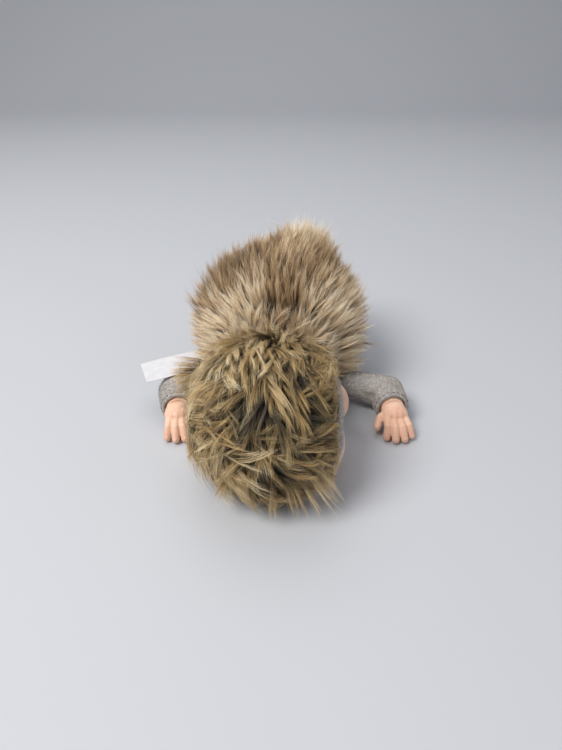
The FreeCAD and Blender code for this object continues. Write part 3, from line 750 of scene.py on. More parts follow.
# locks that stand free of the rest: the fringe that hangs to the table and the tuft over the right sleeve
HEAD_FRINGE = [
    ((0.34, -0.94, -0.01), (0.52, -0.04, -0.84), 32, 12, 0.92),
    ((0.28, -0.95, -0.12), (0.42, -0.06, -0.90), 29, 12, 0.80),
    ((0.42, -0.90, 0.08), (0.50, 0.02, -0.85), 32, 12, 0.84),
    ((0.18, -0.97, -0.15), (0.32, -0.10, -0.94), 27, 12, 0.66),
    ((0.02, -0.97, -0.22), (0.05, -0.16, -0.97), 23, 12, 0.62),
    ((-0.45, -0.86, -0.18), (-0.42, -0.08, -0.90), 22, 12, 0.60),
    ((-0.80, 0.35, 0.49), (-0.98, 0.16, -0.09), 21, 12, 0.78),
    ((-0.84, 0.31, 0.45), (-0.97, 0.13, -0.15), 20, 12, 0.70),
    ((-0.86, 0.28, 0.42), (-0.97, 0.11, -0.21), 19, 12, 0.84),
    ((-0.91, 0.15, 0.38), (-0.90, 0.08, -0.43), 16, 12, 0.66),
    ((-0.76, 0.40, 0.52), (-0.97, 0.24, -0.02), 19, 12, 0.62),
    ((-0.78, 0.36, 0.52), (-0.98, 0.10, -0.04), 20, 14, 0.70),
    ((-0.82, 0.30, 0.48), (-0.97, 0.06, -0.08), 19, 14, 0.58),
    ((-0.85, 0.24, 0.46), (-0.96, 0.02, -0.14), 17, 14, 0.74),
    ((-0.74, 0.34, 0.58), (-0.97, 0.18, 0.02), 21, 14, 0.52),
    ((-0.88, 0.20, 0.42), (-0.95, 0.04, -0.24), 16, 14, 0.60),
]
# painted shade over the hood's hollows: a direction from the middle of the skull, a reach in mm and its depth
HEAD_PAINTED_SHADE = [
    ((-0.37, -0.77, 0.53), 7.4, 0.40), ((-0.10, -0.84, 0.54), 7.4, 0.45), ((0.08, -0.88, 0.46), 5.1, 0.30),
    ((-0.62, -0.60, 0.50), 4.6, 0.25), ((0.56, -0.66, 0.50), 6.5, 0.30), ((0.37, -0.90, 0.21), 6.0, 0.30),
    ((0.08, -0.92, -0.38), 7.9, 0.30), ((0.39, 0.04, 0.92), 8.8, 0.28), ((0.21, -0.53, 0.82), 4.6, 0.20),
    ((-0.42, -0.89, 0.18), 5.6, 0.15), ((0.63, -0.74, 0.25), 5.6, 0.25), ((0.51, -0.76, -0.39), 7.4, 0.20),
    ((0.47, -0.37, 0.80), 4.6, 0.25),
]


# a tuft: its locks and then their strands, each as a number, a spread, a gathering to the tip and a fray
BODY_TUFT = ((3, 1.1 * MM, (0.25, 0.65), 0.5 * MM), (level(4, 9), 0.6 * MM, (0.45, 0.88), 0.4 * MM))
NECK_TUFT = ((3, 1.2 * MM, (0.3, 0.7), 0.6 * MM), (level(4, 9), 0.6 * MM, (0.45, 0.9), 0.4 * MM))
HOOD_TUFT = ((3, 1.0 * MM, (0.5, 0.9), 0.5 * MM), (level(5, 13), 0.55 * MM, (0.5, 0.92), 0.35 * MM))
HOOD_UNDER_TUFT = ((3, 1.6 * MM, (0.1, 0.4), 0.8 * MM), (level(3, 6), 0.8 * MM, (0.1, 0.5), 0.5 * MM))
COARSE_WIDE = 0.26
HAIR_WIDE = 0.1 * MM
# where no stroke of the comb is near: length in mm, lift in degrees, tone; and how much that weighs
PLAIN_PILE, PLAIN_SHARE = (18.5, 44, 0.48), 0.06


def combed(roots, places, table, reach, default):
    """The way, length, lift and tone of the pile at each root, from the nearest strokes of the comb."""
    away = np.linalg.norm(roots[:, None] - places[None], axis=2)
    share = np.exp(-0.5 * (away / reach) ** 2)
    whole = share.sum(1) + PLAIN_SHARE
    ways = np.array([unit(np.array(row[1], float)) for row in table])
    way = (share @ ways + PLAIN_SHARE * default) / whole[:, None]
    rest = [
        (share @ np.array([row[k] for row in table]) + PLAIN_SHARE * PLAIN_PILE[k - 2]) / whole for k in (2, 3, 4)
    ]
    return way, rest[0] * MM, np.radians(rest[1]), rest[2]


def tufts(rng, lines, normal_of, tone, sizes, width):
    """Locks of locks: each tuft is split into small locks, and each of these into strands."""
    (some, spread, gather, fray), (many, fine, close, stray) = sizes
    small, shade, _ = locks(rng, lines, normal_of, some, spread, rng.uniform(*gather, len(lines)), fray, tone, 1.0)
    return locks(rng, small, normal_of, many, fine, rng.uniform(*close, len(small)), stray, shade, width)


def flyaways(rng, lines, normal_of, tone, share, width):
    """Single fine hairs that leave the locks they grow in."""
    some = rng.random(len(lines)) < share
    count = int(some.sum())
    longer = lines[some][:, :1] + (lines[some] - lines[some][:, :1]) * rng.uniform(1.0, 1.22, (count, 1, 1))
    shade = np.clip(tone[some] + rng.normal(0.22, 0.12, count), 0, 1)
    return locks(rng, longer, normal_of, 4, 2.2 * MM, np.full(count, 0.1), 1.3 * MM, shade, width)


def wisps(rng, table, places, normal_of, points, many, free=False):
    """The wisps of a table, each as three close locks; free ones hang straight instead of hugging the cloth."""
    times = 3
    roots = np.repeat(places, times, axis=0) + rng.normal(0, 0.55 * MM, (len(places) * times, 3))
    way = np.repeat(np.array([row[1] for row in table], float), times, axis=0)
    long, lift, tone = (np.repeat(np.array([row[k] for row in table], float), times) for k in (2, 3, 4))
    n = normal_of(roots)
    way = turn_about(tangential(way, n), n, rng.normal(0, 0.10, len(n)))
    lift = np.radians(lift + rng.normal(0, 4, len(n)))
    lines = lock_lines(roots, normal_of, way, long * rng.uniform(0.8, 1.05, len(n)) * MM, lift, 0.7,
                       rng.normal(0, 0.75, len(n)), 0.05, points)
    if free:
        aim = unit(np.repeat(np.array([row[1] for row in table], float), times, axis=0)
                   + rng.normal(0, 0.07, (len(n), 3)))
        along = np.linspace(0, 1, points)[None, :, None] * long[:, None, None] * MM
        bow = np.sin(np.linspace(0, np.pi, points))[None, :, None] * 2.5 * MM
        lines = roots[:, None] + aim[:, None] * along + n[:, None] * bow
    return locks(rng, lines, normal_of, many, 0.75 * MM, rng.uniform(0.75, 0.95, len(n)), 0.35 * MM, tone,
                 0.12 * MM)


def together(*groups):
    return [np.concatenate(parts) for parts in zip(*groups)]


def body_pile(material):
    """The long pile of the back: combed tufts, a cream ruff at the neck, loose hairs and wisps."""
    rng = np.random.default_rng(11)
    low_y, high_y = NECK_Y + 1.0 * MM, BODY_REAR - 0.2 * MM
    neck = np.array((HEAD.x * 0.5, NECK_Y - 14 * MM, BODY_Z + 4 * MM))

    def sample():
        y = rng.uniform(low_y, high_y)
        half = BODY_FRONT if y < 0 else BODY_REAR
        share = math.sqrt(max(0.0, 1 - (y / half) ** 2))
        if rng.random() > math.sqrt(share ** 2 + (BODY_R * y / half ** 2) ** 2):
            return None
        a = rng.uniform(-SEAM_ANGLE, SEAM_ANGLE)
        return (BODY_R * share * math.sin(a), y, BODY_Z + BODY_R * share * math.cos(a))

    roots = scattered(level(900, 3000), sample, level(3.4, 1.8) * MM)
    n = body_normal(roots)
    count = len(roots)
    places = np.array([row[0] for row in BODY_COMB]) * MM
    default = unit(roots - neck) + np.array((0.25, 0.1, 0))
    heading, length, lift, tone = combed(roots, places, BODY_COMB, 7.5 * MM, default)
    heading = turn_about(tangential(heading, n), n, patches(roots, 60, 2) * 0.3)
    front = (np.clip(1 - (roots[:, 1] - low_y) / (21 * MM), 0, 1) ** 1.1)[:, None]
    stand = n * np.sin(lift)[:, None] + heading * np.cos(lift)[:, None]
    radial = unit(roots * (1, 0, 1) - np.array((0, 0, BODY_Z)))
    ruff = unit(radial + n * 0.15 + heading * 0.25)
    stand = unit(stand * (1 - front) + ruff * front + rng.normal(0, 0.10, (count, 3)))
    lift = np.arcsin(np.clip((stand * n).sum(1), -0.95, 0.98))
    heading = tangential(stand, n)
    length = length * rng.uniform(0.85, 1.12, count)
    lines = lock_lines(roots, body_normal, heading, length, lift, 0.35, rng.normal(0, 0.25, count), 0.08, 5)
    side = np.clip((np.abs(roots[:, 0]) - 5 * MM) / (8 * MM), 0, 1)
    tone = tone * 1.2 - 0.17 + front[:, 0] ** 1.4 * (0.62 * side + 0.06)
    tone = tone + 0.22 * patches(roots, 75, 5) + rng.normal(0, 0.13, count) + 0.22 * (rng.random(count) < 0.16)
    groups = [
        tufts(rng, lines, body_normal, tone, BODY_TUFT, level(COARSE_WIDE, 0.152) * MM),
        flyaways(rng, lines, body_normal, tone, 0.4, HAIR_WIDE),
        wisps(rng, BODY_WISPS, np.array([row[0] for row in BODY_WISPS]) * MM * BODY_SINK + BODY_LIFT, body_normal,
              5, 26),
    ]
    strands, shade, thick = together(*groups)
    strands[:, 1:] = clear_of_limbs(strands[:, 1:])
    strands[:, 1:] = push_out_of_ball(strands[:, 1:], HEAD, SKULL_R + 2.5 * MM)
    strands = beside_label(strands)
    strands = push_off_floor(strands)
    strands[..., 2] = np.minimum(strands[..., 2], 87.8 * MM)
    owner = strands[:, 0]
    cuts = [("front", -1, -12 * MM), ("middle", -12 * MM, 12 * MM), ("rear", 12 * MM, 1)]
    for name, side in SIDES.items():
        for part, start, end in cuts:
            chosen = (owner[:, 0] * side >= 0) & (owner[:, 1] >= start) & (owner[:, 1] < end)
            ribbons(f"back_pile_{name}_{part}", rng, strands[chosen], shade[chosen], thick[chosen], body_normal,
                    material, "torso")


def neck_axis_normal(p):
    """Outward from the line between the head's groove and the body's neck seam."""
    return unit((p - np.array((HEAD.x * 0.6, 0, HEAD.z))) * (1, 0, 1))


def neck_pile(material):
    """The ruff over the neck: pile on all of the neck cloth but its throat side."""
    rng = np.random.default_rng(37)
    count = level(200, 580)
    rear_turn = math.atan2(-OUT.x, -OUT.z)
    angle = rear_turn + np.radians(rng.uniform(-125, 174, count))
    y = rng.uniform(-55.5 * MM, NECK_Y - 0.5 * MM, count)
    radius = np.interp(y, (-52 * MM, -44 * MM, NECK_Y), (11.2 * MM, 14 * MM, 19 * MM))
    middle_x = np.interp(y, (-55 * MM, NECK_Y), (HEAD.x, 0))
    middle_z = np.interp(y, (-55 * MM, NECK_Y), (HEAD.z, BODY_Z))
    roots = np.stack([middle_x + radius * np.sin(angle), y, middle_z + radius * np.cos(angle)], axis=1)
    rearward = np.interp(y, (-55.5 * MM, -51 * MM, -46 * MM), (-1.0, -0.5, 0.6))
    heading = np.stack([np.zeros(count), rearward, np.full(count, 0.2)], axis=1)
    heading = unit(heading + rng.normal(0, 0.3, (count, 3)))
    lift = np.radians(rng.normal(0, 9, count) + np.interp(y, (-54 * MM, -47 * MM), (44, 66)))
    length = rng.uniform(0.85, 1.1, count) * np.interp(y, (-55 * MM, -47 * MM), (13 * MM, 18 * MM))
    lines = lock_lines(roots, neck_axis_normal, heading, length, lift, 0.3, rng.normal(0, 0.3, count), 0.02, 5)
    side = np.clip((np.abs(roots[:, 0] + 1 * MM) - 3 * MM) / (6 * MM), 0, 1)
    tone = 0.72 + 0.34 * side + 0.1 * (roots[:, 0] > 4 * MM) + rng.normal(0, 0.16, count)
    strands, shade, thick = together(
        tufts(rng, lines, neck_axis_normal, tone, NECK_TUFT, level(COARSE_WIDE, 0.155) * MM),
        flyaways(rng, lines, neck_axis_normal, tone, 0.4, HAIR_WIDE),
    )
    strands[:, 1:] = push_out_of_ball(strands[:, 1:], HEAD, SKULL_R + 2.0 * MM)
    strands[:, 1:] = clear_of_limbs(strands[:, 1:])
    strands = push_off_floor(strands)
    ribbons("neck_pile", rng, strands, shade, thick, neck_axis_normal, material, "neck")


def beside_label(strands):
    """Strands rooted over the tape's seam lie on the tape, the others under it."""
    along, across, up = label_local(strands)
    height = label_height(np.clip(along / LABEL_LONG, 0, 1))
    near = (along > 1 * MM) & (along < LABEL_LONG + 2 * MM) & (np.abs(across) < LABEL_WIDE / 2 + 0.6 * MM)
    above = (up[:, :1] > 0) & near
    over = np.where(above, np.maximum(up, height + 0.9 * MM), np.minimum(up, height - 0.9 * MM))
    moved = strands.copy()
    moved[..., 2] += np.where(near, over - up, 0)
    return moved


def head_local(p):
    """Points in the head's own axes: to its left, up to the crown, out through the face."""
    away = p - np.array(HEAD)
    return np.stack([away @ np.array(LEFT), away @ np.array(UP), away @ np.array(OUT)], axis=-1)


BAND_WIDE = 4.4 * MM
# how far out the hood's pile may stand, by distance up the head from its middle
CHEEK_LIMIT = np.array([(-14, -6, 15, 22, 28), (27.5, 24.3, 22.2, 22.6, 29)]) * MM
TEMPLE_LIMIT = np.array([(-32, -6, -2.5, 10, 19, 25), (-60, -60, -39.5, -37.9, -36.8, -60)]) * MM


def clear_of_face(p):
    """Keeps strands off the face and its band, except for the fringe that hangs a little over the brow."""
    q = head_local(p)
    x, y, z = q[..., 0], q[..., 1] + OPENING_DOWN, q[..., 2]
    r = np.sqrt(x ** 2 + y ** 2)
    brow = np.clip((y / np.maximum(r, 1e-6) - 0.72) / 0.2, 0, 1)
    radius = OPENING_R + BAND_WIDE - 0.2 * MM - 6.5 * brow * MM
    level = 4 * MM + brow * 17 * MM
    inside = (z > level) & (r < radius)
    grow = np.where(inside, radius / np.maximum(r, 1e-6), 1.0)
    moved = (
        np.array(HEAD) + (x * grow)[..., None] * np.array(LEFT)
        + (y * grow - OPENING_DOWN)[..., None] * np.array(UP) + z[..., None] * np.array(OUT)
    )
    return np.where(inside[..., None], moved, p)


def held_back(p, rng):
    """The hood's pile is brushed back from the cheek and the temple, and tucked in over the right hand."""
    up = (np.array(HEAD)[1] - p[..., 1])
    loose = np.abs(rng.normal(0, 0.6 * MM, len(p)))[:, None]
    loose = loose + 1.0 * MM * (1 + np.sin(up * 1900) * np.sin(p[..., 2] * 1300))
    most = np.interp(up, CHEEK_LIMIT[0], CHEEK_LIMIT[1]) - 0.05 * p[..., 2] - 0.9 * MM + loose
    least = np.interp(up, TEMPLE_LIMIT[0], TEMPLE_LIMIT[1]) + 0.077 * p[..., 2] - loose
    q = p.copy()
    q[..., 0] = np.clip(p[..., 0], least, most)
    return q


def with_painted_shade(strands, tone, share):
    """The tone of the hood's strands, with painted shade where they end over one of its hollows."""
    seen = head_normal(strands[:, int(strands.shape[1] * 0.6)])
    for way, wide, depth in HEAD_PAINTED_SHADE:
        off = np.linalg.norm(seen - unit(np.array(way)), axis=1) * 32 * MM
        tone = tone - share * depth * np.exp(-0.5 * (off / (wide * MM * 0.8)) ** 2)
    return tone


def head_pile(material):
    """The hood's pile: a short dark layer, and over it combed locks, wisps and the fringe."""
    rng = np.random.default_rng(23)
    cloth_r = SKULL_R + 1.1 * MM

    def on_skull(table):
        return np.array([Vector(row[0]).normalized() for row in table]) * cloth_r + np.array(HEAD)

    def sample():
        d = Vector(rng.normal(0, 1, 3)).normalized()
        x, y, z = d.dot(LEFT), d.dot(UP), d.dot(OUT)
        beside = math.hypot(x * cloth_r, y * cloth_r + OPENING_DOWN)
        if z > 0 and beside < OPENING_R + 3.4 * MM:
            return None
        if y < 0 and math.hypot(x, z) * cloth_r < 12.5 * MM:
            return None
        return tuple(HEAD + d * cloth_r)

    def grown(count, spacing, reach, shorter, darker, jitter, sizes, points, width):
        """One layer of the hood's pile."""
        roots = scattered(count, sample, spacing)
        n = head_normal(roots)
        number = len(roots)
        default = np.tile((0, -1.0, -0.25), (number, 1)) + n * np.array((0.6, 0, 0))
        heading, length, lift, tone = combed(roots, on_skull(HEAD_COMB), HEAD_COMB, reach, default)
        q = head_local(roots)
        beside = np.hypot(q[:, 0], q[:, 1] + OPENING_DOWN) - OPENING_R
        edge = np.exp(-((beside - 2 * MM) / (7 * MM)) ** 2) * (q[:, 2] > -6 * MM)
        brow = np.clip((q[:, 1] - 12 * MM) / (6 * MM), 0, 1)
        edge = edge * (1 - 0.8 * brow) * (1 - 0.6 * np.clip((-q[:, 1] - 4 * MM) / (6 * MM), 0, 1))
        heading = heading * (1 - 0.85 * edge)[:, None] - np.array(OUT) * 0.2 * edge[:, None]
        heading = tangential(unit(heading) + rng.normal(0, jitter, (number, 3)), n)
        swirl = patches(roots, 95, 9)
        heading = turn_about(heading, n, 0.45 * swirl * (1 - edge) + rng.normal(0, jitter, number))
        ridge = patches(roots, 150, 4)
        length = length * rng.uniform(0.82, 1.12, number) * (1 - 0.4 * edge) * (1 + 0.12 * ridge) * shorter
        lift = lift * (1 - 0.45 * edge) + np.radians(rng.normal(0, 7, number))
        curl = 0.7 * patches(roots, 120, 6) + rng.normal(0, 0.25, number)
        lines = lock_lines(roots, head_normal, heading, length, lift, 0.9, curl, 0.10, points)
        # painted shade over the hood's hollows
        tone = with_painted_shade(lines, tone, 1.05)
        tone = tone + 0.16 * ridge + rng.normal(0, 0.11, number) + 0.18 * (rng.random(number) < 0.16) + 0.12 - darker
        some = tufts(rng, lines, head_normal, tone, sizes, width)
        return together(some, flyaways(rng, lines, head_normal, tone, 0.5, HAIR_WIDE)) if darker == 0 else some

    wide = level(COARSE_WIDE, 0.14) * MM
    over = grown(level(330, 980), level(3.8, 2.25) * MM, 6.0 * MM, 1.0, 0, 0.16, HOOD_TUFT, 6, wide)
    strands, shade, thick = wisps(rng, HEAD_WISPS, on_skull(HEAD_WISPS), head_normal, 6, 24)
    # the wisps get the painted shade of the hollows too
    over = together(over, (strands, with_painted_shade(strands, shade, 0.8) - 0.06, thick),
                    wisps(rng, HEAD_FRINGE, on_skull(HEAD_FRINGE), head_normal, 6, 20, free=True))
    under = grown(level(300, 760), level(3.8, 2.3) * MM, 9 * MM, 0.55, 0.42, 0.35, HOOD_UNDER_TUFT, 5, 1.12 * wide)
    for strands, _, _ in (over, under):
        strands[:, 1:] = held_back(strands[:, 1:], rng)
        strands[:, 1:] = push_out_of_ball(strands[:, 1:], HEAD, cloth_r + 0.4 * MM)
        strands[:, 1:] = clear_of_face(strands[:, 1:])
        strands[:, 1:] = clear_of_limbs(strands[:, 1:])
        strands[:] = push_off_floor(strands)
    strands, shade, thick = over
    owner = head_local(strands[:, 0])
    regions = {
        "left": owner[:, 0] >= 9 * MM,
        "crown": np.abs(owner[:, 0]) < 9 * MM,
        "right": owner[:, 0] <= -9 * MM,
    }
    for part, chosen in regions.items():
        ribbons(f"hood_pile_{part}", rng, strands[chosen], shade[chosen], thick[chosen], head_normal, material,
                "head")
    ribbons("hood_pile_under", rng, *under, head_normal, material, "head")


# ---------------------------------------------------------------- body and neck cloth
def body_cloth(name, first, last, thick, inset=0.0, floor=None):
    """Part of the sewn body's skin, from one angle round its axis to another, as cloth with a thickness."""
    bpy.ops.mesh.primitive_uv_sphere_add(segments=144, ring_count=72, radius=1, rotation=(math.radians(90), 0, 0))
    piece = joined([bpy.context.object], name)
    p, _ = coordinates(piece)
    half = np.where(p[:, 1] < 0, BODY_FRONT, BODY_REAR) - inset
    radius = BODY_R - inset
    q = np.stack([p[:, 0] * radius, p[:, 1] * half, p[:, 2] * radius + BODY_Z], axis=1)
    set_coordinates(piece, q)
    bpy.ops.object.mode_set(mode="EDIT")
    shape = bmesh.from_edit_mesh(piece.data)
    for face in shape.faces:
        c = face.calc_center_median()
        angle = math.atan2(c.x, c.z - BODY_Z) % (2 * math.pi)
        face.select = not first < angle < last
    bmesh.update_edit_mesh(piece.data)
    bpy.ops.mesh.delete(type="FACE")
    bpy.ops.mesh.select_all(action="SELECT")
    bpy.ops.mesh.bisect(plane_co=(0, NECK_Y, 0), plane_no=(0, 1, 0), clear_inner=True)
    bpy.ops.mesh.select_all(action="SELECT")
    bpy.ops.mesh.remove_doubles(threshold=1e-6)
    bpy.ops.mesh.normals_make_consistent(inside=False)
    bpy.ops.object.mode_set(mode="OBJECT")
    if floor is not None:
        flattened(piece, floor)
    apply_modifier(piece, "SOLIDIFY", thickness=thick, offset=-1)
    piece.data.shade_smooth()
    return piece


def make_body_cloth(backing, velour):
    """The fur's backing over both sides of the back, and the short-nap belly."""
    turn = 2 * math.pi
    left = body_cloth("back_cloth_left", 0, SEAM_ANGLE, 1.2 * MM, 0.2 * MM)
    right = body_cloth("back_cloth_right", turn - SEAM_ANGLE, turn, 1.2 * MM, 0.2 * MM)
    finish_piece(left, backing, "torso", ["back_panel_left"])
    finish_piece(right, backing, "torso", ["back_panel_right"])
    belly = body_cloth("belly_cloth", SEAM_ANGLE, turn - SEAM_ANGLE, 1.2 * MM, 0.0, 0.0)
    finish_piece(belly, velour, "torso", ["belly_panel"])


def make_neck(velour):
    """The gathered neck cloth: tied into the head's groove and opening out to the body's neck seam."""
    tie_low, tie_high = corners("neck_tie")
    tie_y = (tie_low.y + tie_high.y) / 2
    profile = [
        (tie_y - 1.6 * MM, 10.4 * MM), (tie_y - 1.0 * MM, 9.25 * MM), (tie_y + 0.9 * MM, 9.25 * MM),
        (tie_y + 2.0 * MM, 11.0 * MM), (-53.0 * MM, 11.1 * MM), (-48.0 * MM, 11.6 * MM),
        (-44.0 * MM, 14.0 * MM), (-42.2 * MM, 18.6 * MM), (-40.5 * MM, 19.6 * MM),
    ]
    segments = 96
    bpy.ops.mesh.primitive_circle_add(vertices=segments, radius=profile[0][1], rotation=(math.radians(90), 0, 0),
                                      location=(HEAD.x, profile[0][0], HEAD.z))
    piece = joined([bpy.context.object], "neck_cloth")
    with editing():
        for _ in profile[1:]:
            bpy.ops.mesh.extrude_region_move(TRANSFORM_OT_translate={"value": (0, 1e-4, 0)})
    p, _ = coordinates(piece)
    for k, (y, radius) in enumerate(profile):
        ring = slice(k * segments, (k + 1) * segments)
        share = min(1.0, max(0.0, (y - tie_y) / (-41 * MM - tie_y)))
        middle = Vector((HEAD.x, y, HEAD.z)).lerp(Vector((0, y, BODY_Z)), share)
        angle = np.arctan2(p[ring, 0] - HEAD.x, p[ring, 2] - HEAD.z)
        gather = 0.45 * MM * math.exp(-abs(y - tie_y) / (9 * MM)) * (1 if radius > 9.3 * MM else 0.3)
        r = radius + gather * np.sin(angle * 17 + 0.8 * np.sin(angle * 3))
        p[ring, 0] = middle.x + r * np.sin(angle)
        p[ring, 1] = y
        p[ring, 2] = middle.z + r * np.cos(angle)
    set_coordinates(piece, p)
    face_outwards()
    apply_modifier(piece, "SOLIDIFY", thickness=0.7 * MM, offset=-1)
    apply_modifier(piece, "SUBSURF", levels=1, render_levels=1)
    piece.data.shade_smooth()
    finish_piece(piece, velour, None, ["neck_sleeve"])
    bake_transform(piece)


# ---------------------------------------------------------------- head and face
def on_head(left, up, out):
    return HEAD_FRAME @ Vector((left * MM, up * MM, out * MM))


# skull, jaw, brow, both cheeks, chin, nose and its wings: place, radius, and facets round and up
HEAD_FORMS = [
    ((0, 0, 0), 27, (64, 40)), ((0, -8, 13), 20.5, (64, 40)), ((0, 5, 18.7), 16, (48, 32)),
    ((10.5, -15, 21.3), 10.5, (48, 32)), ((-10.5, -15, 21.3), 10.5, (48, 32)), ((0, -21.5, 25.5), 6.5, (32, 20)),
    ((0, -9.5, 33.6), 2.7, (24, 16)), ((2.3, -10.6, 32.6), 1.6, (20, 12)), ((-2.3, -10.6, 32.6), 1.6, (20, 12)),
]


def make_head(vinyl):
    """The moulded head: a round skull with a full sleeping face, closed under the hood by its neck tube."""
    forms = [ball(on_head(*place), radius * MM, *facets) for place, radius, facets in HEAD_FORMS]
    lip_y, groove_rear, groove_front = -53 * MM, -56 * MM, -60 * MM
    for start, end, radius in ((HEAD.y + 20 * MM, groove_front, 9.5 * MM), (groove_front, groove_rear, 8.3 * MM),
                               (groove_rear, lip_y, 9.5 * MM)):
        forms.append(cylinder((HEAD.x, (start + end) / 2, HEAD.z), radius, end - start + 0.2 * MM))
    piece = remeshed(forms, "head_vinyl", level(0.9, 0.54) * MM, level(6, 9))
    p, _ = coordinates(piece)
    q = head_local(p) / MM
    x, y, z = q[:, 0], q[:, 1], q[:, 2]
    front = np.clip((z - 12) / 8, 0, 1)

    def bump(cx, cy, sx, sy, height, angle=0.0):
        """An oval swelling or hollow on the face."""
        c, s = math.cos(angle), math.sin(angle)
        dx, dy = x - cx, y - cy
        u, v = dx * c + dy * s, -dx * s + dy * c
        return height * np.exp(-(u / sx) ** 2 - (v / sy) ** 2) * front

    move, blush_and_shade = np.zeros((2, len(p)))
    for s in (1, -1):
        move += bump(s * 8.2, -3.6, 5.4, 3.2, -1.25)
        move += bump(s * 8.4, -4.6, 3.9, 2.5, 1.45)
        lid = -6.4 + 0.055 * (x - s * 8.4) ** 2
        across = bell(x - s * 8.4, 3.9, 4) * front
        move -= 0.42 * bell(y - lid, 0.42) * across
        move += bump(s * 8.4, -8.0, 3.6, 1.0, 0.30)
        fold = -1.6 - 0.03 * (x - s * 8.4) ** 2
        move -= 0.20 * bell(y - fold, 0.5) * bell(x - s * 8.4, 4.2, 4) * front
        blush_and_shade += 0.75 * bell(y - lid, 0.36) * across
        # painted shade in the eye socket's hollow
        blush_and_shade += 0.16 * np.exp(-((x - s * 8.4) / 4.4) ** 2 - ((y + 3.4) / 2.4) ** 2) * front
        blush_and_shade += 0.30 * np.exp(-((x - s * 12.5) / 5.4) ** 2 - ((y + 14.5) / 4.6) ** 2) * front
        move += bump(s * 7.5, 3.2, 5.0, 1.7, 0.35, s * -0.12)
        move += bump(s * 1.35, -12.35, 0.62, 0.42, -0.7)
        # painted shade in the nostril's pit
        blush_and_shade += 0.7 * np.exp(-((x - s * 1.35) / 0.8) ** 2 - ((y + 12.4) / 0.55) ** 2) * front
        move += bump(s * 5.3, -13.6, 1.2, 3.0, -0.45, s * -0.5)
        # painted shade in the corner of the mouth
        blush_and_shade += 0.22 * np.exp(-((x - s * 5.0) / 1.0) ** 2 - ((y + 17.0) / 1.2) ** 2) * front
    move += bump(0, -4.5, 1.7, 3.6, 0.75)
    move += bump(0, -1.0, 3.2, 1.8, -0.35)
    mouth = -17.0 + 0.035 * x ** 2 - 0.35 * bell(x, 1.0)
    width = bell(x, 4.3, 4) * front
    move += 1.05 * bell(y - mouth - 1.15, 0.95) * bell(x, 3.6, 4) * front
    move += 1.25 * bell(y - mouth + 1.45, 1.15) * bell(x, 2.9, 4) * front
    move -= 0.85 * bell(y - mouth, 0.4) * width
    move += bump(0, -14.2, 0.7, 1.0, -0.35)
    move += bump(0, -20.4, 3.0, 0.9, -0.55)
    lips = bell(y - mouth - 0.8, 1.25, 4) * bell(x, 3.9, 4)
    lips += bell(y - mouth + 1.3, 1.3, 4) * bell(x, 3.2, 4)
    # the lips are sprayed red; along the mouth's line it is painted shade
    blush_and_shade += 0.62 * np.clip(lips, 0, 1) * front + 0.35 * bell(y - mouth, 0.35) * width
    moulded(piece, move, blush_and_shade, 0.4, 2)
    return finish_piece(piece, vinyl, "head", ["head_shell"])


def make_hood(backing):
    """The hood's backing cloth in two halves, open for the face and for the neck."""
    for name, side in SIDES.items():
        outer = joined([ball(HEAD, SKULL_R + 1.3 * MM, 72, 44)], f"hood_cloth_{name}")
        inner = joined([ball(HEAD, SKULL_R + 0.3 * MM, 72, 44)], "cut_inner")
        face_hole = joined([cylinder(on_head(0, -6, 30), OPENING_R + 1.6 * MM, 60 * MM, 96,
                                     OUT.to_track_quat("Z", "Y").to_euler())], "cut_face")
        neck_hole = joined([cylinder(HEAD + Vector((0, 30 * MM, 0)), 14 * MM, 60 * MM)], "cut_neck")
        bpy.ops.mesh.primitive_cube_add(size=100 * MM, location=HEAD - LEFT * (side * 50 * MM),
                                        rotation=HEAD_FRAME.to_3x3().to_euler())
        half = joined([bpy.context.object], "cut_half")
        for cutter in (inner, face_hole, neck_hole, half):
            apply_modifier(outer, "BOOLEAN", operation="DIFFERENCE", object=cutter, solver="EXACT")
            bpy.data.objects.remove(cutter)
        outer.data.shade_smooth()
        finish_piece(outer, backing, "head", [f"hood_{name}"])


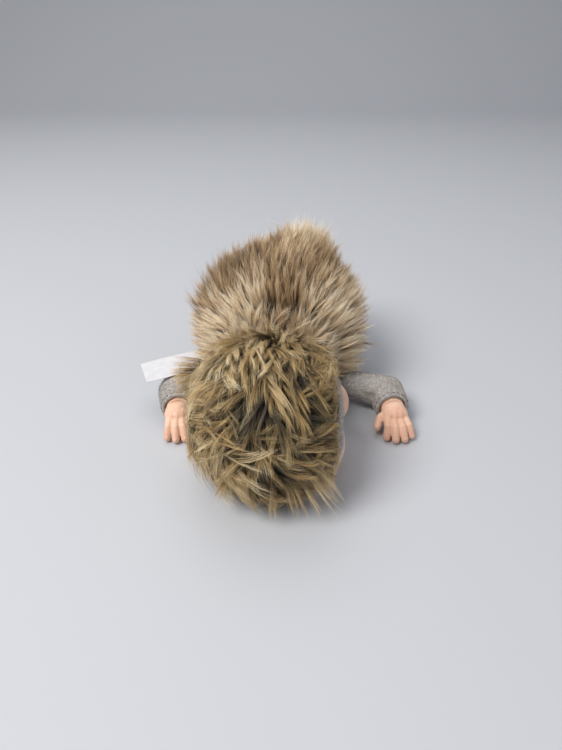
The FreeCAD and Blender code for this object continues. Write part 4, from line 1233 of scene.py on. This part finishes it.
def make_band(velour, head):
    """The short-nap band that edges the hood and follows brow, cheeks and chin."""
    depsgraph = bpy.context.evaluated_depsgraph_get()
    tree = BVHTree.FromObject(head, depsgraph)
    segments, around = 144, 20
    middle = OPENING_R + 2.0 * MM
    height = []
    for i in range(segments):
        a = 2 * math.pi * i / segments
        x, y = middle * math.cos(a), middle * math.sin(a) - OPENING_DOWN
        start = HEAD + LEFT * x + UP * y + OUT * 60 * MM
        hit = tree.ray_cast(start, -OUT)
        height.append((hit[0] - HEAD).dot(OUT) if hit[0] else 15 * MM)
    height = np.array(height)
    around_face = np.sin(np.arange(segments) * 2 * math.pi / segments)
    height = np.clip(height, 14.5 * MM, (19 + 6 * np.clip(around_face * 2, 0, 1)) * MM)
    for _ in range(24):
        height = 0.5 * height + 0.25 * (np.roll(height, 1) + np.roll(height, -1))
    bpy.ops.mesh.primitive_torus_add(major_segments=segments, minor_segments=around, major_radius=1,
                                     minor_radius=0.25)
    piece = joined([bpy.context.object], "hood_band_cloth")
    p, _ = coordinates(piece)
    a = np.arctan2(p[:, 1], p[:, 0])
    radial = (np.hypot(p[:, 0], p[:, 1]) - 1) / 0.25
    rise = p[:, 2] / 0.25
    level = np.interp(a % (2 * np.pi), np.linspace(0, 2 * np.pi, segments + 1), np.append(height, height[0]))
    ripple = 0.16 * np.sin(a * 23 + np.sin(a * 5)) + 0.10 * np.sin(a * 41 + 2)
    r = middle + radial * (2.5 + 0.2 * ripple) * MM
    x, y = r * np.cos(a), r * np.sin(a) - OPENING_DOWN
    hood = np.sqrt(np.maximum((SKULL_R + 1.1 * MM) ** 2 - x ** 2 - y ** 2, 0)) - 2 * MM
    throat = np.where(y < -18 * MM, np.sqrt(np.maximum((12.5 * MM) ** 2 - x ** 2, 0)), 0)
    top = level + 1.3 * MM
    low = np.minimum(np.maximum(hood, throat), top - 1.8 * MM)
    z = top + np.where(rise > 0, rise * (2.2 + ripple * 0.5) * MM, rise * (top - low))
    world = np.array(HEAD) + np.outer(x, LEFT) + np.outer(y, UP) + np.outer(z, OUT)
    set_coordinates(piece, world)
    face_outwards()
    apply_modifier(piece, "SUBSURF", levels=1, render_levels=1)
    piece.data.shade_smooth()
    return finish_piece(piece, velour, "head", ["hood_band"])


# ---------------------------------------------------------------- limbs
def limb_matrix(kind, side):
    """The place of a limb made for the doll's left, with its pivot at the origin and its end along y."""
    name = "left" if side > 0 else "right"
    mirror = Matrix.Diagonal((side, 1, 1, 1))
    if kind == "forearm":
        axis = joint_axis(f"{name}_wrist_turn")
        return Matrix.Translation(PIVOT[f"{name}_elbow_bend"]) @ Matrix.Rotation(
            math.atan2(axis[0], -axis[1]), 4, "Z") @ mirror
    axis = joint_axis("left_ankle_turn")
    return mirror @ Matrix.Translation(PIVOT["left_hip_swing"]) @ Matrix.Rotation(
        -math.atan2(axis[0], axis[1]), 4, "Z")


def put(piece, matrix):
    """Sets a finished mesh in its place; a mirrored one is turned right side out."""
    piece.data.transform(matrix)
    if matrix.determinant() < 0:
        piece.data.flip_normals()
    piece.data.update()


def rod_between(start, end, first, last, sides=48):
    """A cone or cylinder between two points, with its own radius at each."""
    start, end = Vector(start), Vector(end)
    way = end - start
    bpy.ops.mesh.primitive_cone_add(
        vertices=sides, radius1=first, radius2=last, depth=way.length, location=(start + end) / 2,
        rotation=way.to_track_quat("Z", "Y").to_euler(),
    )
    return bpy.context.object


def creased(piece, creases, seed, amount=0.25 * MM):
    """Presses folds into soft cloth: each crease is a place, the way it runs, its half length, width and
    depth. A faint unevenness of the filling goes over the whole."""
    p, n = coordinates(piece)
    move = np.zeros(len(p))
    for place, way, half, width, depth in creases:
        way = Vector(way).normalized()
        d = p - np.array(place)
        along = d @ np.array(way)
        off = d - np.outer(along, way)
        side = n @ np.array(way)
        distance = np.linalg.norm(off, axis=1)
        move -= depth * bell(along, half) * bell(distance, width) * (1 - side ** 2)
    shift = Vector((seed * 3.1, seed * 1.7, seed * 5.3))
    uneven = np.array([noise.noise(Vector(q) * 170 + shift) for q in p])
    finer = np.array([noise.noise(Vector(q) * 420 + shift) for q in p])
    move += amount * uneven + 0.35 * amount * finer
    set_coordinates(piece, p + n * move[:, None])


def bored(piece, start, end, radius):
    """Opens the end of a sleeve, so that its hem has a thickness and the wrist stands inside it."""
    drill = joined([rod_between(start, end, radius, radius, 64)], "drill")
    apply_modifier(piece, "BOOLEAN", operation="DIFFERENCE", object=drill, solver="EXACT")
    bpy.data.objects.remove(drill)


def make_stitches(name, matrix, y, radius, count, thread, body, replaced):
    """Thread stitches round a cuff: one is modelled and its copies are turned round the limb."""
    first = cylinder((0, 0, 0), 0.2 * MM, 1, 6, (0, math.radians(90), 0))
    bpy.ops.object.transform_apply(location=False, rotation=True, scale=True)
    with editing():
        bpy.ops.mesh.subdivide(number_cuts=3)
    rest, _ = coordinates(first)
    span = 1.9 * MM / radius
    stitches = []
    for i in range(count):
        copy = first.copy()
        copy.data = first.data.copy()
        bpy.context.collection.objects.link(copy)
        a = 2 * math.pi * i / count + rest[:, 0] * span
        dip = 0.34 * MM * (np.abs(rest[:, 0]) * 2) ** 3
        r = radius + rest[:, 2] - dip
        points = np.stack([r * np.sin(a), y + rest[:, 1] + 0.12 * MM * math.sin(i * 2.4), r * np.cos(a)], axis=1)
        set_coordinates(copy, points)
        stitches.append(copy)
    bpy.data.objects.remove(first)
    piece = joined(stitches, name)
    piece.data.shade_smooth()
    face_outwards()
    put(piece, matrix)
    finish_piece(piece, thread, body, replaced)


# length and width of a nap's fibres
SLEEVE_NAP, BAND_NAP = (1.0 * MM, 0.11 * MM), (0.8 * MM, 0.1 * MM)


def nap(name, rng, source, count, length, width, material, lean):
    """Short fibres standing on a velour piece: each a thin pointed blade."""
    mesh = source.data
    mesh.calc_loop_triangles()
    p, n = coordinates(source)
    tri = np.empty(len(mesh.loop_triangles) * 3, dtype=np.int64)
    mesh.loop_triangles.foreach_get("vertices", tri)
    tri = tri.reshape(-1, 3)
    a, b, c = p[tri[:, 0]], p[tri[:, 1]], p[tri[:, 2]]
    area = np.linalg.norm(np.cross(b - a, c - a), axis=1)
    pick = rng.choice(len(tri), count, p=area / area.sum())
    u, v = rng.random(count), rng.random(count)
    flip = u + v > 1
    u, v = np.where(flip, 1 - u, u), np.where(flip, 1 - v, v)
    root = a[pick] + (b - a)[pick] * u[:, None] + (c - a)[pick] * v[:, None]
    up = unit(n[tri[pick]].mean(1))
    way = unit(up + np.array(lean) * 0.5 + rng.normal(0, 0.45, (count, 3)))
    way = unit(way + up * np.clip(0.25 - (way * up).sum(1), 0, 1)[:, None])
    long = length * rng.uniform(0.5, 1.15, count)
    across = unit(np.cross(way, rng.normal(0, 1, (count, 3)))) * (width / 2)
    bend = rng.normal(0, 0.18, (count, 3)) * long[:, None]
    verts = np.stack([root - across - up * 0.1 * MM, root + across - up * 0.1 * MM,
                      root + way * long[:, None] * 0.55 + across * 0.7 + bend * 0.3,
                      root + way * long[:, None] * 0.55 - across * 0.7 + bend * 0.3,
                      root + way * long[:, None] + bend], axis=1)
    base = np.arange(count)[:, None, None] * 5
    faces = (base + np.array([(0, 1, 2), (0, 2, 3), (3, 2, 4)])[None]).reshape(-1, 3)
    tone = np.clip(0.5 + rng.normal(0, 0.22, count), 0.02, 0.98)
    uv = np.stack([np.repeat(tone, 5), np.tile((0, 0, 0.55, 0.55, 1.0), count)], axis=1)
    piece = blades(name, verts, faces, uv)
    piece.data.materials.append(material)
    return piece


def make_arm(name, side, velour, nap_paint, thread):
    """A sleeve in one bent tube, creased inside the elbow, with its nap and the stitches of its cuff."""
    root, elbow = PIVOT[f"{name}_shoulder_swing"], PIVOT[f"{name}_elbow_bend"]
    matrix = limb_matrix("forearm", side)
    cuff = matrix @ Vector((0, -13.7 * MM, 0))
    inner = matrix @ Vector((0, -7.6 * MM, 0))
    axis = (cuff - elbow).normalized()
    forms = [
        ball(root, 5.9 * MM, 32, 20),
        rod_between(root, elbow, 5.9 * MM, 8.3 * MM),
        ball(elbow, 8.5 * MM, 48, 30),
        rod_between(elbow, cuff, 8.4 * MM, 7.9 * MM),
    ]
    piece = remeshed(forms, f"{name}_sleeve", level(0.8, 0.5) * MM, 6)
    inside = (root - elbow).normalized() + axis
    fold = elbow + inside.normalized() * 8 * MM
    upper = (root - elbow).normalized()
    creases = [
        (fold, inside, 7 * MM, 2.2 * MM, 1.7 * MM),
        (fold + axis * 4 * MM, inside + axis * 0.4, 5 * MM, 1.3 * MM, 0.8 * MM),
        (fold + upper * 4.5 * MM, inside + upper * 0.4, 5 * MM, 1.4 * MM, 0.9 * MM),
        (elbow + upper * 9 * MM + Vector((0, 0, 7 * MM)), (0.1, 1, 0), 4 * MM, 1.6 * MM, 0.5 * MM),
        (elbow + axis * 5 * MM + Vector((3 * MM * side, 0, 7 * MM)), (1, 0.4, 0), 5 * MM, 1.3 * MM, 0.45 * MM),
    ]
    creased(piece, [(c, Vector((0, 0, 1)).cross(Vector(w)), h, wd, dp) for c, w, h, wd, dp in creases], 2 + side)
    bored(piece, cuff + axis * 2 * MM, inner, 6.5 * MM)
    piece.data.shade_smooth()
    finish_piece(piece, velour, None, [f"{name}_upper_sleeve", f"{name}_fore_sleeve"])
    fuzz = nap(f"{name}_sleeve_nap", np.random.default_rng(31 + side), piece, level(4000, 20000), *SLEEVE_NAP,
               nap_paint, axis)
    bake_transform(piece)
    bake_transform(fuzz)
    make_stitches(f"{name}_cuff_thread", matrix, -12.3 * MM, 8.0 * MM, 20, thread, f"{name}_forearm",
                  [f"{name}_cuff_stitches"])


def make_leg(name, side, velour, nap_paint, thread):
    """A short plump legging, flat underneath where it lies, with its nap and the stitches of its cuff."""
    matrix = limb_matrix("leg", side)
    points = [(0, 0, 1.4 * MM), (0, 9 * MM, 0), (0, 25.2 * MM, 0)]
    forms = [
        ball(points[0], 5.4 * MM, 32, 20),
        rod_between(points[0], points[1], 5.4 * MM, 8.5 * MM),
        ball(points[1], 8.5 * MM, 48, 30),
        rod_between(points[1], points[2], 8.5 * MM, 7.8 * MM),
    ]
    piece = remeshed(forms, f"{name}_legging", level(0.8, 0.5) * MM, 6)
    creases = [
        ((0, 3.5 * MM, 7 * MM), (1, 0.2, 0), 8 * MM, 1.6 * MM, 0.9 * MM),
        ((-6 * MM, 8 * MM, 3 * MM), (0.3, 0.5, 1), 6 * MM, 1.4 * MM, 0.6 * MM),
        ((4 * MM, 17 * MM, 6 * MM), (1, -0.3, 0.2), 5 * MM, 1.5 * MM, 0.5 * MM),
        ((7 * MM, 12 * MM, 2 * MM), (0, 0.3, 1), 5 * MM, 1.4 * MM, 0.5 * MM),
    ]
    creased(piece, creases, 6 + side)
    flattened(piece, -8.75 * MM)
    bored(piece, (0, 28 * MM, 0), (0, 19.2 * MM, 0), 6.4 * MM)
    piece.data.shade_smooth()
    put(piece, matrix)
    finish_piece(piece, velour, f"{name}_leg", [f"{name}_leg_sleeve"])
    fuzz = nap(f"{name}_legging_nap", np.random.default_rng(41 + side), piece, level(3000, 15000), *SLEEVE_NAP,
               nap_paint, matrix.to_3x3() @ Vector((0, 1, 0)))
    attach(fuzz, f"{name}_leg")
    make_stitches(f"{name}_ankle_thread", matrix, 23.8 * MM, 7.9 * MM, 20, thread, f"{name}_leg",
                  [f"{name}_ankle_stitches"])


def make_tab(name, node, body, velour):
    """A limb's cloth tab: a soft flat pillow the size of the caught cloth."""
    piece = linked(name, frame["nodes"][node].data.copy())
    choose(piece)
    with editing():
        bpy.ops.mesh.remove_doubles(threshold=1e-6)
    apply_modifier(piece, "BEVEL", width=0.6 * MM, segments=3, limit_method="ANGLE")
    piece.data.shade_smooth()
    finish_piece(piece, velour, body, [node])


# ---------------------------------------------------------------- vinyl hands and feet
def fitting(y, direction):
    """Flange, tie groove and wrist of a moulded hand or foot, along y."""
    def at(distance):
        return (0, y + direction * distance * MM, 0)
    return [
        rod_between(at(0), at(1.2), 6.05 * MM, 6.05 * MM),
        rod_between(at(1.1), at(3.4), 4.8 * MM, 4.8 * MM),
        rod_between(at(3.3), at(7.0), 5.6 * MM, 5.7 * MM),
    ]


def finger(knuckle, bend, tip, radius):
    knuckle, bend, tip = (Vector(v) * MM for v in (knuckle, bend, tip))
    return [
        ball(knuckle, (radius + 0.15) * MM, 20, 14),
        rod_between(knuckle, bend, (radius + 0.15) * MM, radius * MM, 20),
        ball(bend, (radius + 0.04) * MM, 20, 14),
        rod_between(bend, tip, radius * MM, (radius - 0.12) * MM, 20),
        ball(tip, (radius - 0.1) * MM, 20, 14),
    ]


# across the knuckle, across the tip, along the tip, radius
FINGERS = [
    (-3.7, -5.4, -27.6, 1.85),
    (-1.0, -1.6, -29.8, 1.95),
    (1.8, 2.7, -29.8, 1.9),
    (4.5, 6.6, -27.6, 1.75),
]
KNUCKLES_Y = -18.6


def make_hand(name, side, vinyl):
    """A baby's hand, palm down: a short soft palm, four slim fingers bent to the table and the thumb apart."""
    forms = fitting(-7.9 * MM, -1)
    forms.append(ball((0.5 * MM, -17.2 * MM, -1.2 * MM), (6.4 * MM, 5.4 * MM, 4.1 * MM), 40, 26))
    forms.append(ball((0.4 * MM, -15.0 * MM, -0.6 * MM), (5.9 * MM, 5.0 * MM, 4.6 * MM), 40, 26))
    for knuckle_x, tip_x, tip_y, radius in FINGERS:
        knuckle, tip = Vector((knuckle_x, KNUCKLES_Y, -1.6)), Vector((tip_x, tip_y, -7.0))
        bend = knuckle.lerp(tip, 0.52) + Vector((0, -1.5, 1.7))
        forms += finger(knuckle, bend, tip, radius)
    forms += finger((-3.6, -15.6, -1.8), (-6.9, -18.0, -2.6), (-8.8, -21.8, -5.0), 2.0)
    piece = remeshed(forms, f"{name}_hand_vinyl", level(0.5, 0.29) * MM, 5)
    p, n = coordinates(piece)
    q = p / MM
    top = np.clip(n[:, 2] * 1.5, 0, 1)
    move, blush_and_shade = np.zeros((2, len(p)))
    for knuckle_x, tip_x, tip_y, radius in FINGERS:
        dimple = np.exp(-((q[:, 0] - knuckle_x) / 0.8) ** 2 - ((q[:, 1] - KNUCKLES_Y + 0.2) / 0.8) ** 2) * top
        move -= 0.22 * dimple
        # painted shade in the knuckle's dimple
        blush_and_shade += 0.14 * dimple
        nail = Vector((tip_x * 1.02, tip_y - 1.15, -5.9))
        d = q - np.array(nail)
        distance = np.sqrt((d[:, 0] / 0.95) ** 2 + (d[:, 1] / 1.0) ** 2 + (d[:, 2] / 1.4) ** 2)
        facing = np.clip(-n[:, 1] * 1.4 + 0.3, 0, 1)
        move += (0.06 * (distance < 0.8) - 0.12 * bell(distance - 1, 0.16)) * facing
        # painted shade in the groove round the nail
        blush_and_shade += 0.22 * bell(distance - 1, 0.22) * facing
        blush_and_shade += 0.14 * bell(q[:, 1] - tip_y, 2.0) * bell(q[:, 0] - tip_x, 2)
        middle = knuckle_x + (tip_x - knuckle_x) * 0.55, KNUCKLES_Y + (tip_y - KNUCKLES_Y) * 0.55 - 0.8
        crease = np.exp(-((q[:, 1] - middle[1]) / 0.35) ** 2 - ((q[:, 0] - middle[0]) / radius) ** 4) * top
        move -= 0.07 * crease
        # painted shade in the finger's crease
        blush_and_shade += 0.12 * crease
    wrist = bell(q[:, 1] + 13.9, 0.5)
    move -= 0.3 * wrist
    # painted shade in the wrist's crease
    blush_and_shade += 0.2 * wrist
    for a, b in zip(FINGERS, FINGERS[1:]):
        root = np.exp(-((q[:, 0] - (a[0] + b[0]) / 2) / 0.6) ** 2 - ((q[:, 1] - KNUCKLES_Y + 2.4) / 1.6) ** 2)
        # painted shade between the roots of the fingers
        blush_and_shade += 0.35 * root
    moulded(piece, move, blush_and_shade, 0.3, 1)
    put(piece, limb_matrix("forearm", side))
    finish_piece(piece, vinyl, f"{name}_hand", [f"{name}_hand"])


# out from the ankle, up the foot, radius
TOES = [(14.6, -6.1, 2.3), (15.8, -2.6, 1.9), (15.4, 0.2, 1.75), (14.4, 2.6, 1.6), (12.8, 4.6, 1.5)]


def make_foot(name, side, vinyl):
    """A chubby foot lying on its inner edge, toes outwards and sole to the rear."""
    ankle = Vector((0, 26.0, 0))
    heel, front = ankle + Vector((-3.0, 4.2, 0)), ankle + Vector((10.5, 4.6, 0))
    forms = fitting(19.4 * MM, 1)
    forms += [ball((ankle + Vector((0, 0.8, 0))) * MM, 5.3 * MM, 40, 26), ball(heel * MM, 5.3 * MM, 40, 26)]
    for offset, radius in (((0, 0, -1.6), 4.5), ((-1.0, 0, 1.6), 4.6)):
        end = (front + Vector(offset)) * MM
        forms += [rod_between(heel * MM, end, 5.2 * MM, radius * MM), ball(end, radius * MM, 40, 26)]
    for out, up, radius in TOES:
        root, tip = ankle + Vector((out - 4.0, 4.6, up * 0.7)), ankle + Vector((out, 4.6, up))
        forms += [rod_between(root * MM, tip * MM, radius * MM, radius * MM, 20), ball(tip * MM, radius * MM, 24, 16)]
    piece = remeshed(forms, f"{name}_foot_vinyl", level(0.5, 0.33) * MM, 5)
    p, n = coordinates(piece)
    q = p / MM
    move, blush_and_shade = np.zeros((2, len(p)))
    sole = np.clip(n[:, 1] * 1.6 - 0.2, 0, 1)
    arch = np.exp(-((q[:, 0] - 3.5) / 3.5) ** 2 - ((q[:, 2] + 3.0) / 3.5) ** 2) * sole
    move -= 0.7 * arch
    for out, up, radius in TOES:
        tip = ankle + Vector((out + radius * 0.55, 4.6 - radius * 0.75, up))
        distance = np.linalg.norm((q - np.array(tip)) / (radius * 0.5), axis=1)
        move -= 0.14 * bell(distance - 1, 0.2)
        # painted shade in the groove round the toenail
        blush_and_shade += 0.2 * bell(distance - 1, 0.25)
        blush_and_shade += 0.08 * bell(q[:, 0] - out - 1, 1.8)
    for a, b in zip(TOES, TOES[1:]):
        between = (a[1] + b[1]) / 2
        line = bell(q[:, 2] - between, 0.35) * np.clip((q[:, 0] - 10.5) / 2, 0, 1)
        move -= 0.25 * line
        # painted shade in the lines between the toes
        blush_and_shade += 0.28 * line
    ring = bell(q[:, 1] - 26.0, 0.45) * (np.abs(q[:, 0]) < 7)
    move -= 0.35 * ring
    # painted shade in the ring groove at the ankle
    blush_and_shade += 0.35 * ring
    moulded(piece, move, blush_and_shade, 0.3, 1, -8.8 * MM)
    put(piece, limb_matrix("leg", side))
    finish_piece(piece, vinyl, f"{name}_foot", [f"{name}_foot"])


# ---------------------------------------------------------------- label
LABEL_LONG, LABEL_WIDE = 40 * MM, 19 * MM
LABEL_SAG = [(0, 0), (0.2, -0.5), (0.45, -0.9), (0.7, -1.6), (1, -3.2)]
LABEL_YAW = math.radians(20)


def label_height(share):
    """Height of the tape over its root, along its length."""
    along, height = zip(*LABEL_SAG)
    return np.interp(share, along, height) * MM


def label_local(p):
    """Points as distance along the label, distance across it and height over its root."""
    root = PIVOT["label_flap"]
    d = p - np.array(root)
    along = -(d[..., 0] * math.cos(LABEL_YAW) + d[..., 1] * math.sin(LABEL_YAW))
    across = -d[..., 0] * math.sin(LABEL_YAW) + d[..., 1] * math.cos(LABEL_YAW)
    return along, across, d[..., 2]


def make_label(satin):
    """A bare satin tape, gently waved, that lies out over the right sleeve."""
    bpy.ops.mesh.primitive_grid_add(x_subdivisions=64, y_subdivisions=32, size=1)
    piece = joined([bpy.context.object], "label_tape")
    piece.data.uv_layers[0].name = "tape"
    p, _ = coordinates(piece)
    share, side = p[:, 0] + 0.5, p[:, 1] * 2
    height = np.zeros(len(p))
    for offset in np.linspace(-0.12, 0.12, 9):
        height += label_height(np.clip(share + offset, 0, 1)) / 9
    free = np.clip(share * 1.4, 0, 1)
    height += free * (0.35 * np.sin(share * 7.5 + side * 1.3) + 0.28 * side * np.sin(share * 4.0 + 0.5)) * MM
    along = -share * LABEL_LONG - 0.8 * MM
    across = side * LABEL_WIDE / 2
    root = PIVOT["label_flap"]
    c, s = math.cos(LABEL_YAW), math.sin(LABEL_YAW)
    world = np.stack([root.x + along * c - across * s, root.y + along * s + across * c, root.z + height + 0.25 * MM],
                     axis=1)
    set_coordinates(piece, world)
    apply_modifier(piece, "SOLIDIFY", thickness=0.25 * MM, offset=0)
    piece.data.shade_smooth()
    finish_piece(piece, satin, "care_label", ["care_label"])


# ---------------------------------------------------------------- the whole doll
def main():
    make_camera()
    make_studio()
    make_floor()

    body_fur = fur_material(
        "body_fur",
        [(60, 48, 36), (86, 68, 50), (132, 112, 88)],
        [(84, 66, 47), (170, 134, 94), (232, 208, 170)],
        [(118, 96, 68), (218, 185, 138), (253, 244, 222)],
    )
    head_fur = fur_material(
        "head_fur",
        [(34, 34, 30), (52, 47, 36), (88, 78, 58)],
        [(60, 57, 46), (176, 143, 90), (228, 206, 160)],
        [(94, 87, 70), (226, 193, 134), (252, 240, 208)],
    )
    backing = plain_material("fur_backing", (40, 34, 28), (56, 48, 40), 500, 0.95)
    velour = velour_material("velour", (148, 144, 141), (247, 241, 233))
    nap_paint = fur_material(
        "velour_nap",
        [(122, 118, 117), (166, 160, 156), (204, 197, 190)],
        [(132, 128, 126), (190, 183, 177), (234, 227, 219)],
        [(144, 140, 137), (210, 203, 196), (246, 239, 230)],
    )
    vinyl = vinyl_material("vinyl")
    satin = satin_material("satin")
    thread = plain_material("thread", (74, 69, 70), (96, 90, 90), 2500, 0.8)
    inner = {
        "fibre": plain_material("fibre", (225, 222, 214), (240, 238, 232), 700, 0.95),
        "bag_cloth": plain_material("bag_cloth", (205, 200, 186), (222, 218, 206), 900, 0.9),
        "pellet": plain_material("pellet", (222, 222, 218), (236, 236, 232), 300, 0.35),
        "tie": plain_material("tie", (146, 140, 134), (164, 158, 150), 200, 0.35),
        "thread": thread, "velour": velour, "vinyl": vinyl, "satin": satin, "fur": backing,
    }
    for part in frame["record"]["subparts"]:
        node = frame["nodes"][part["node"]]
        node.data.materials.clear()
        node.data.materials.append(inner[part["material_slot"]])

    make_body_cloth(backing, velour)
    make_neck(velour)
    head = make_head(vinyl)
    make_hood(backing)
    band = make_band(velour, head)
    band_nap = nap("hood_band_nap", np.random.default_rng(51), band, level(2500, 12000), *BAND_NAP,
                   nap_paint, (0, 0, 0))
    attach(band_nap, "head")
    for name, side in SIDES.items():
        make_arm(name, side, velour, nap_paint, thread)
        make_hand(name, side, vinyl)
        make_leg(name, side, velour, nap_paint, thread)
        make_foot(name, side, vinyl)
        make_tab(f"{name}_shoulder_tab", f"{name}_arm_tab", f"{name}_shoulder", velour)
        make_tab(f"{name}_hip_tab", f"{name}_leg_tab", f"{name}_hip", velour)
    make_label(satin)
    body_pile(body_fur)
    neck_pile(body_fur)
    head_pile(head_fur)


main()
bpy.context.scene.view_settings.view_transform = "Standard"
bpy.context.view_layer.update()
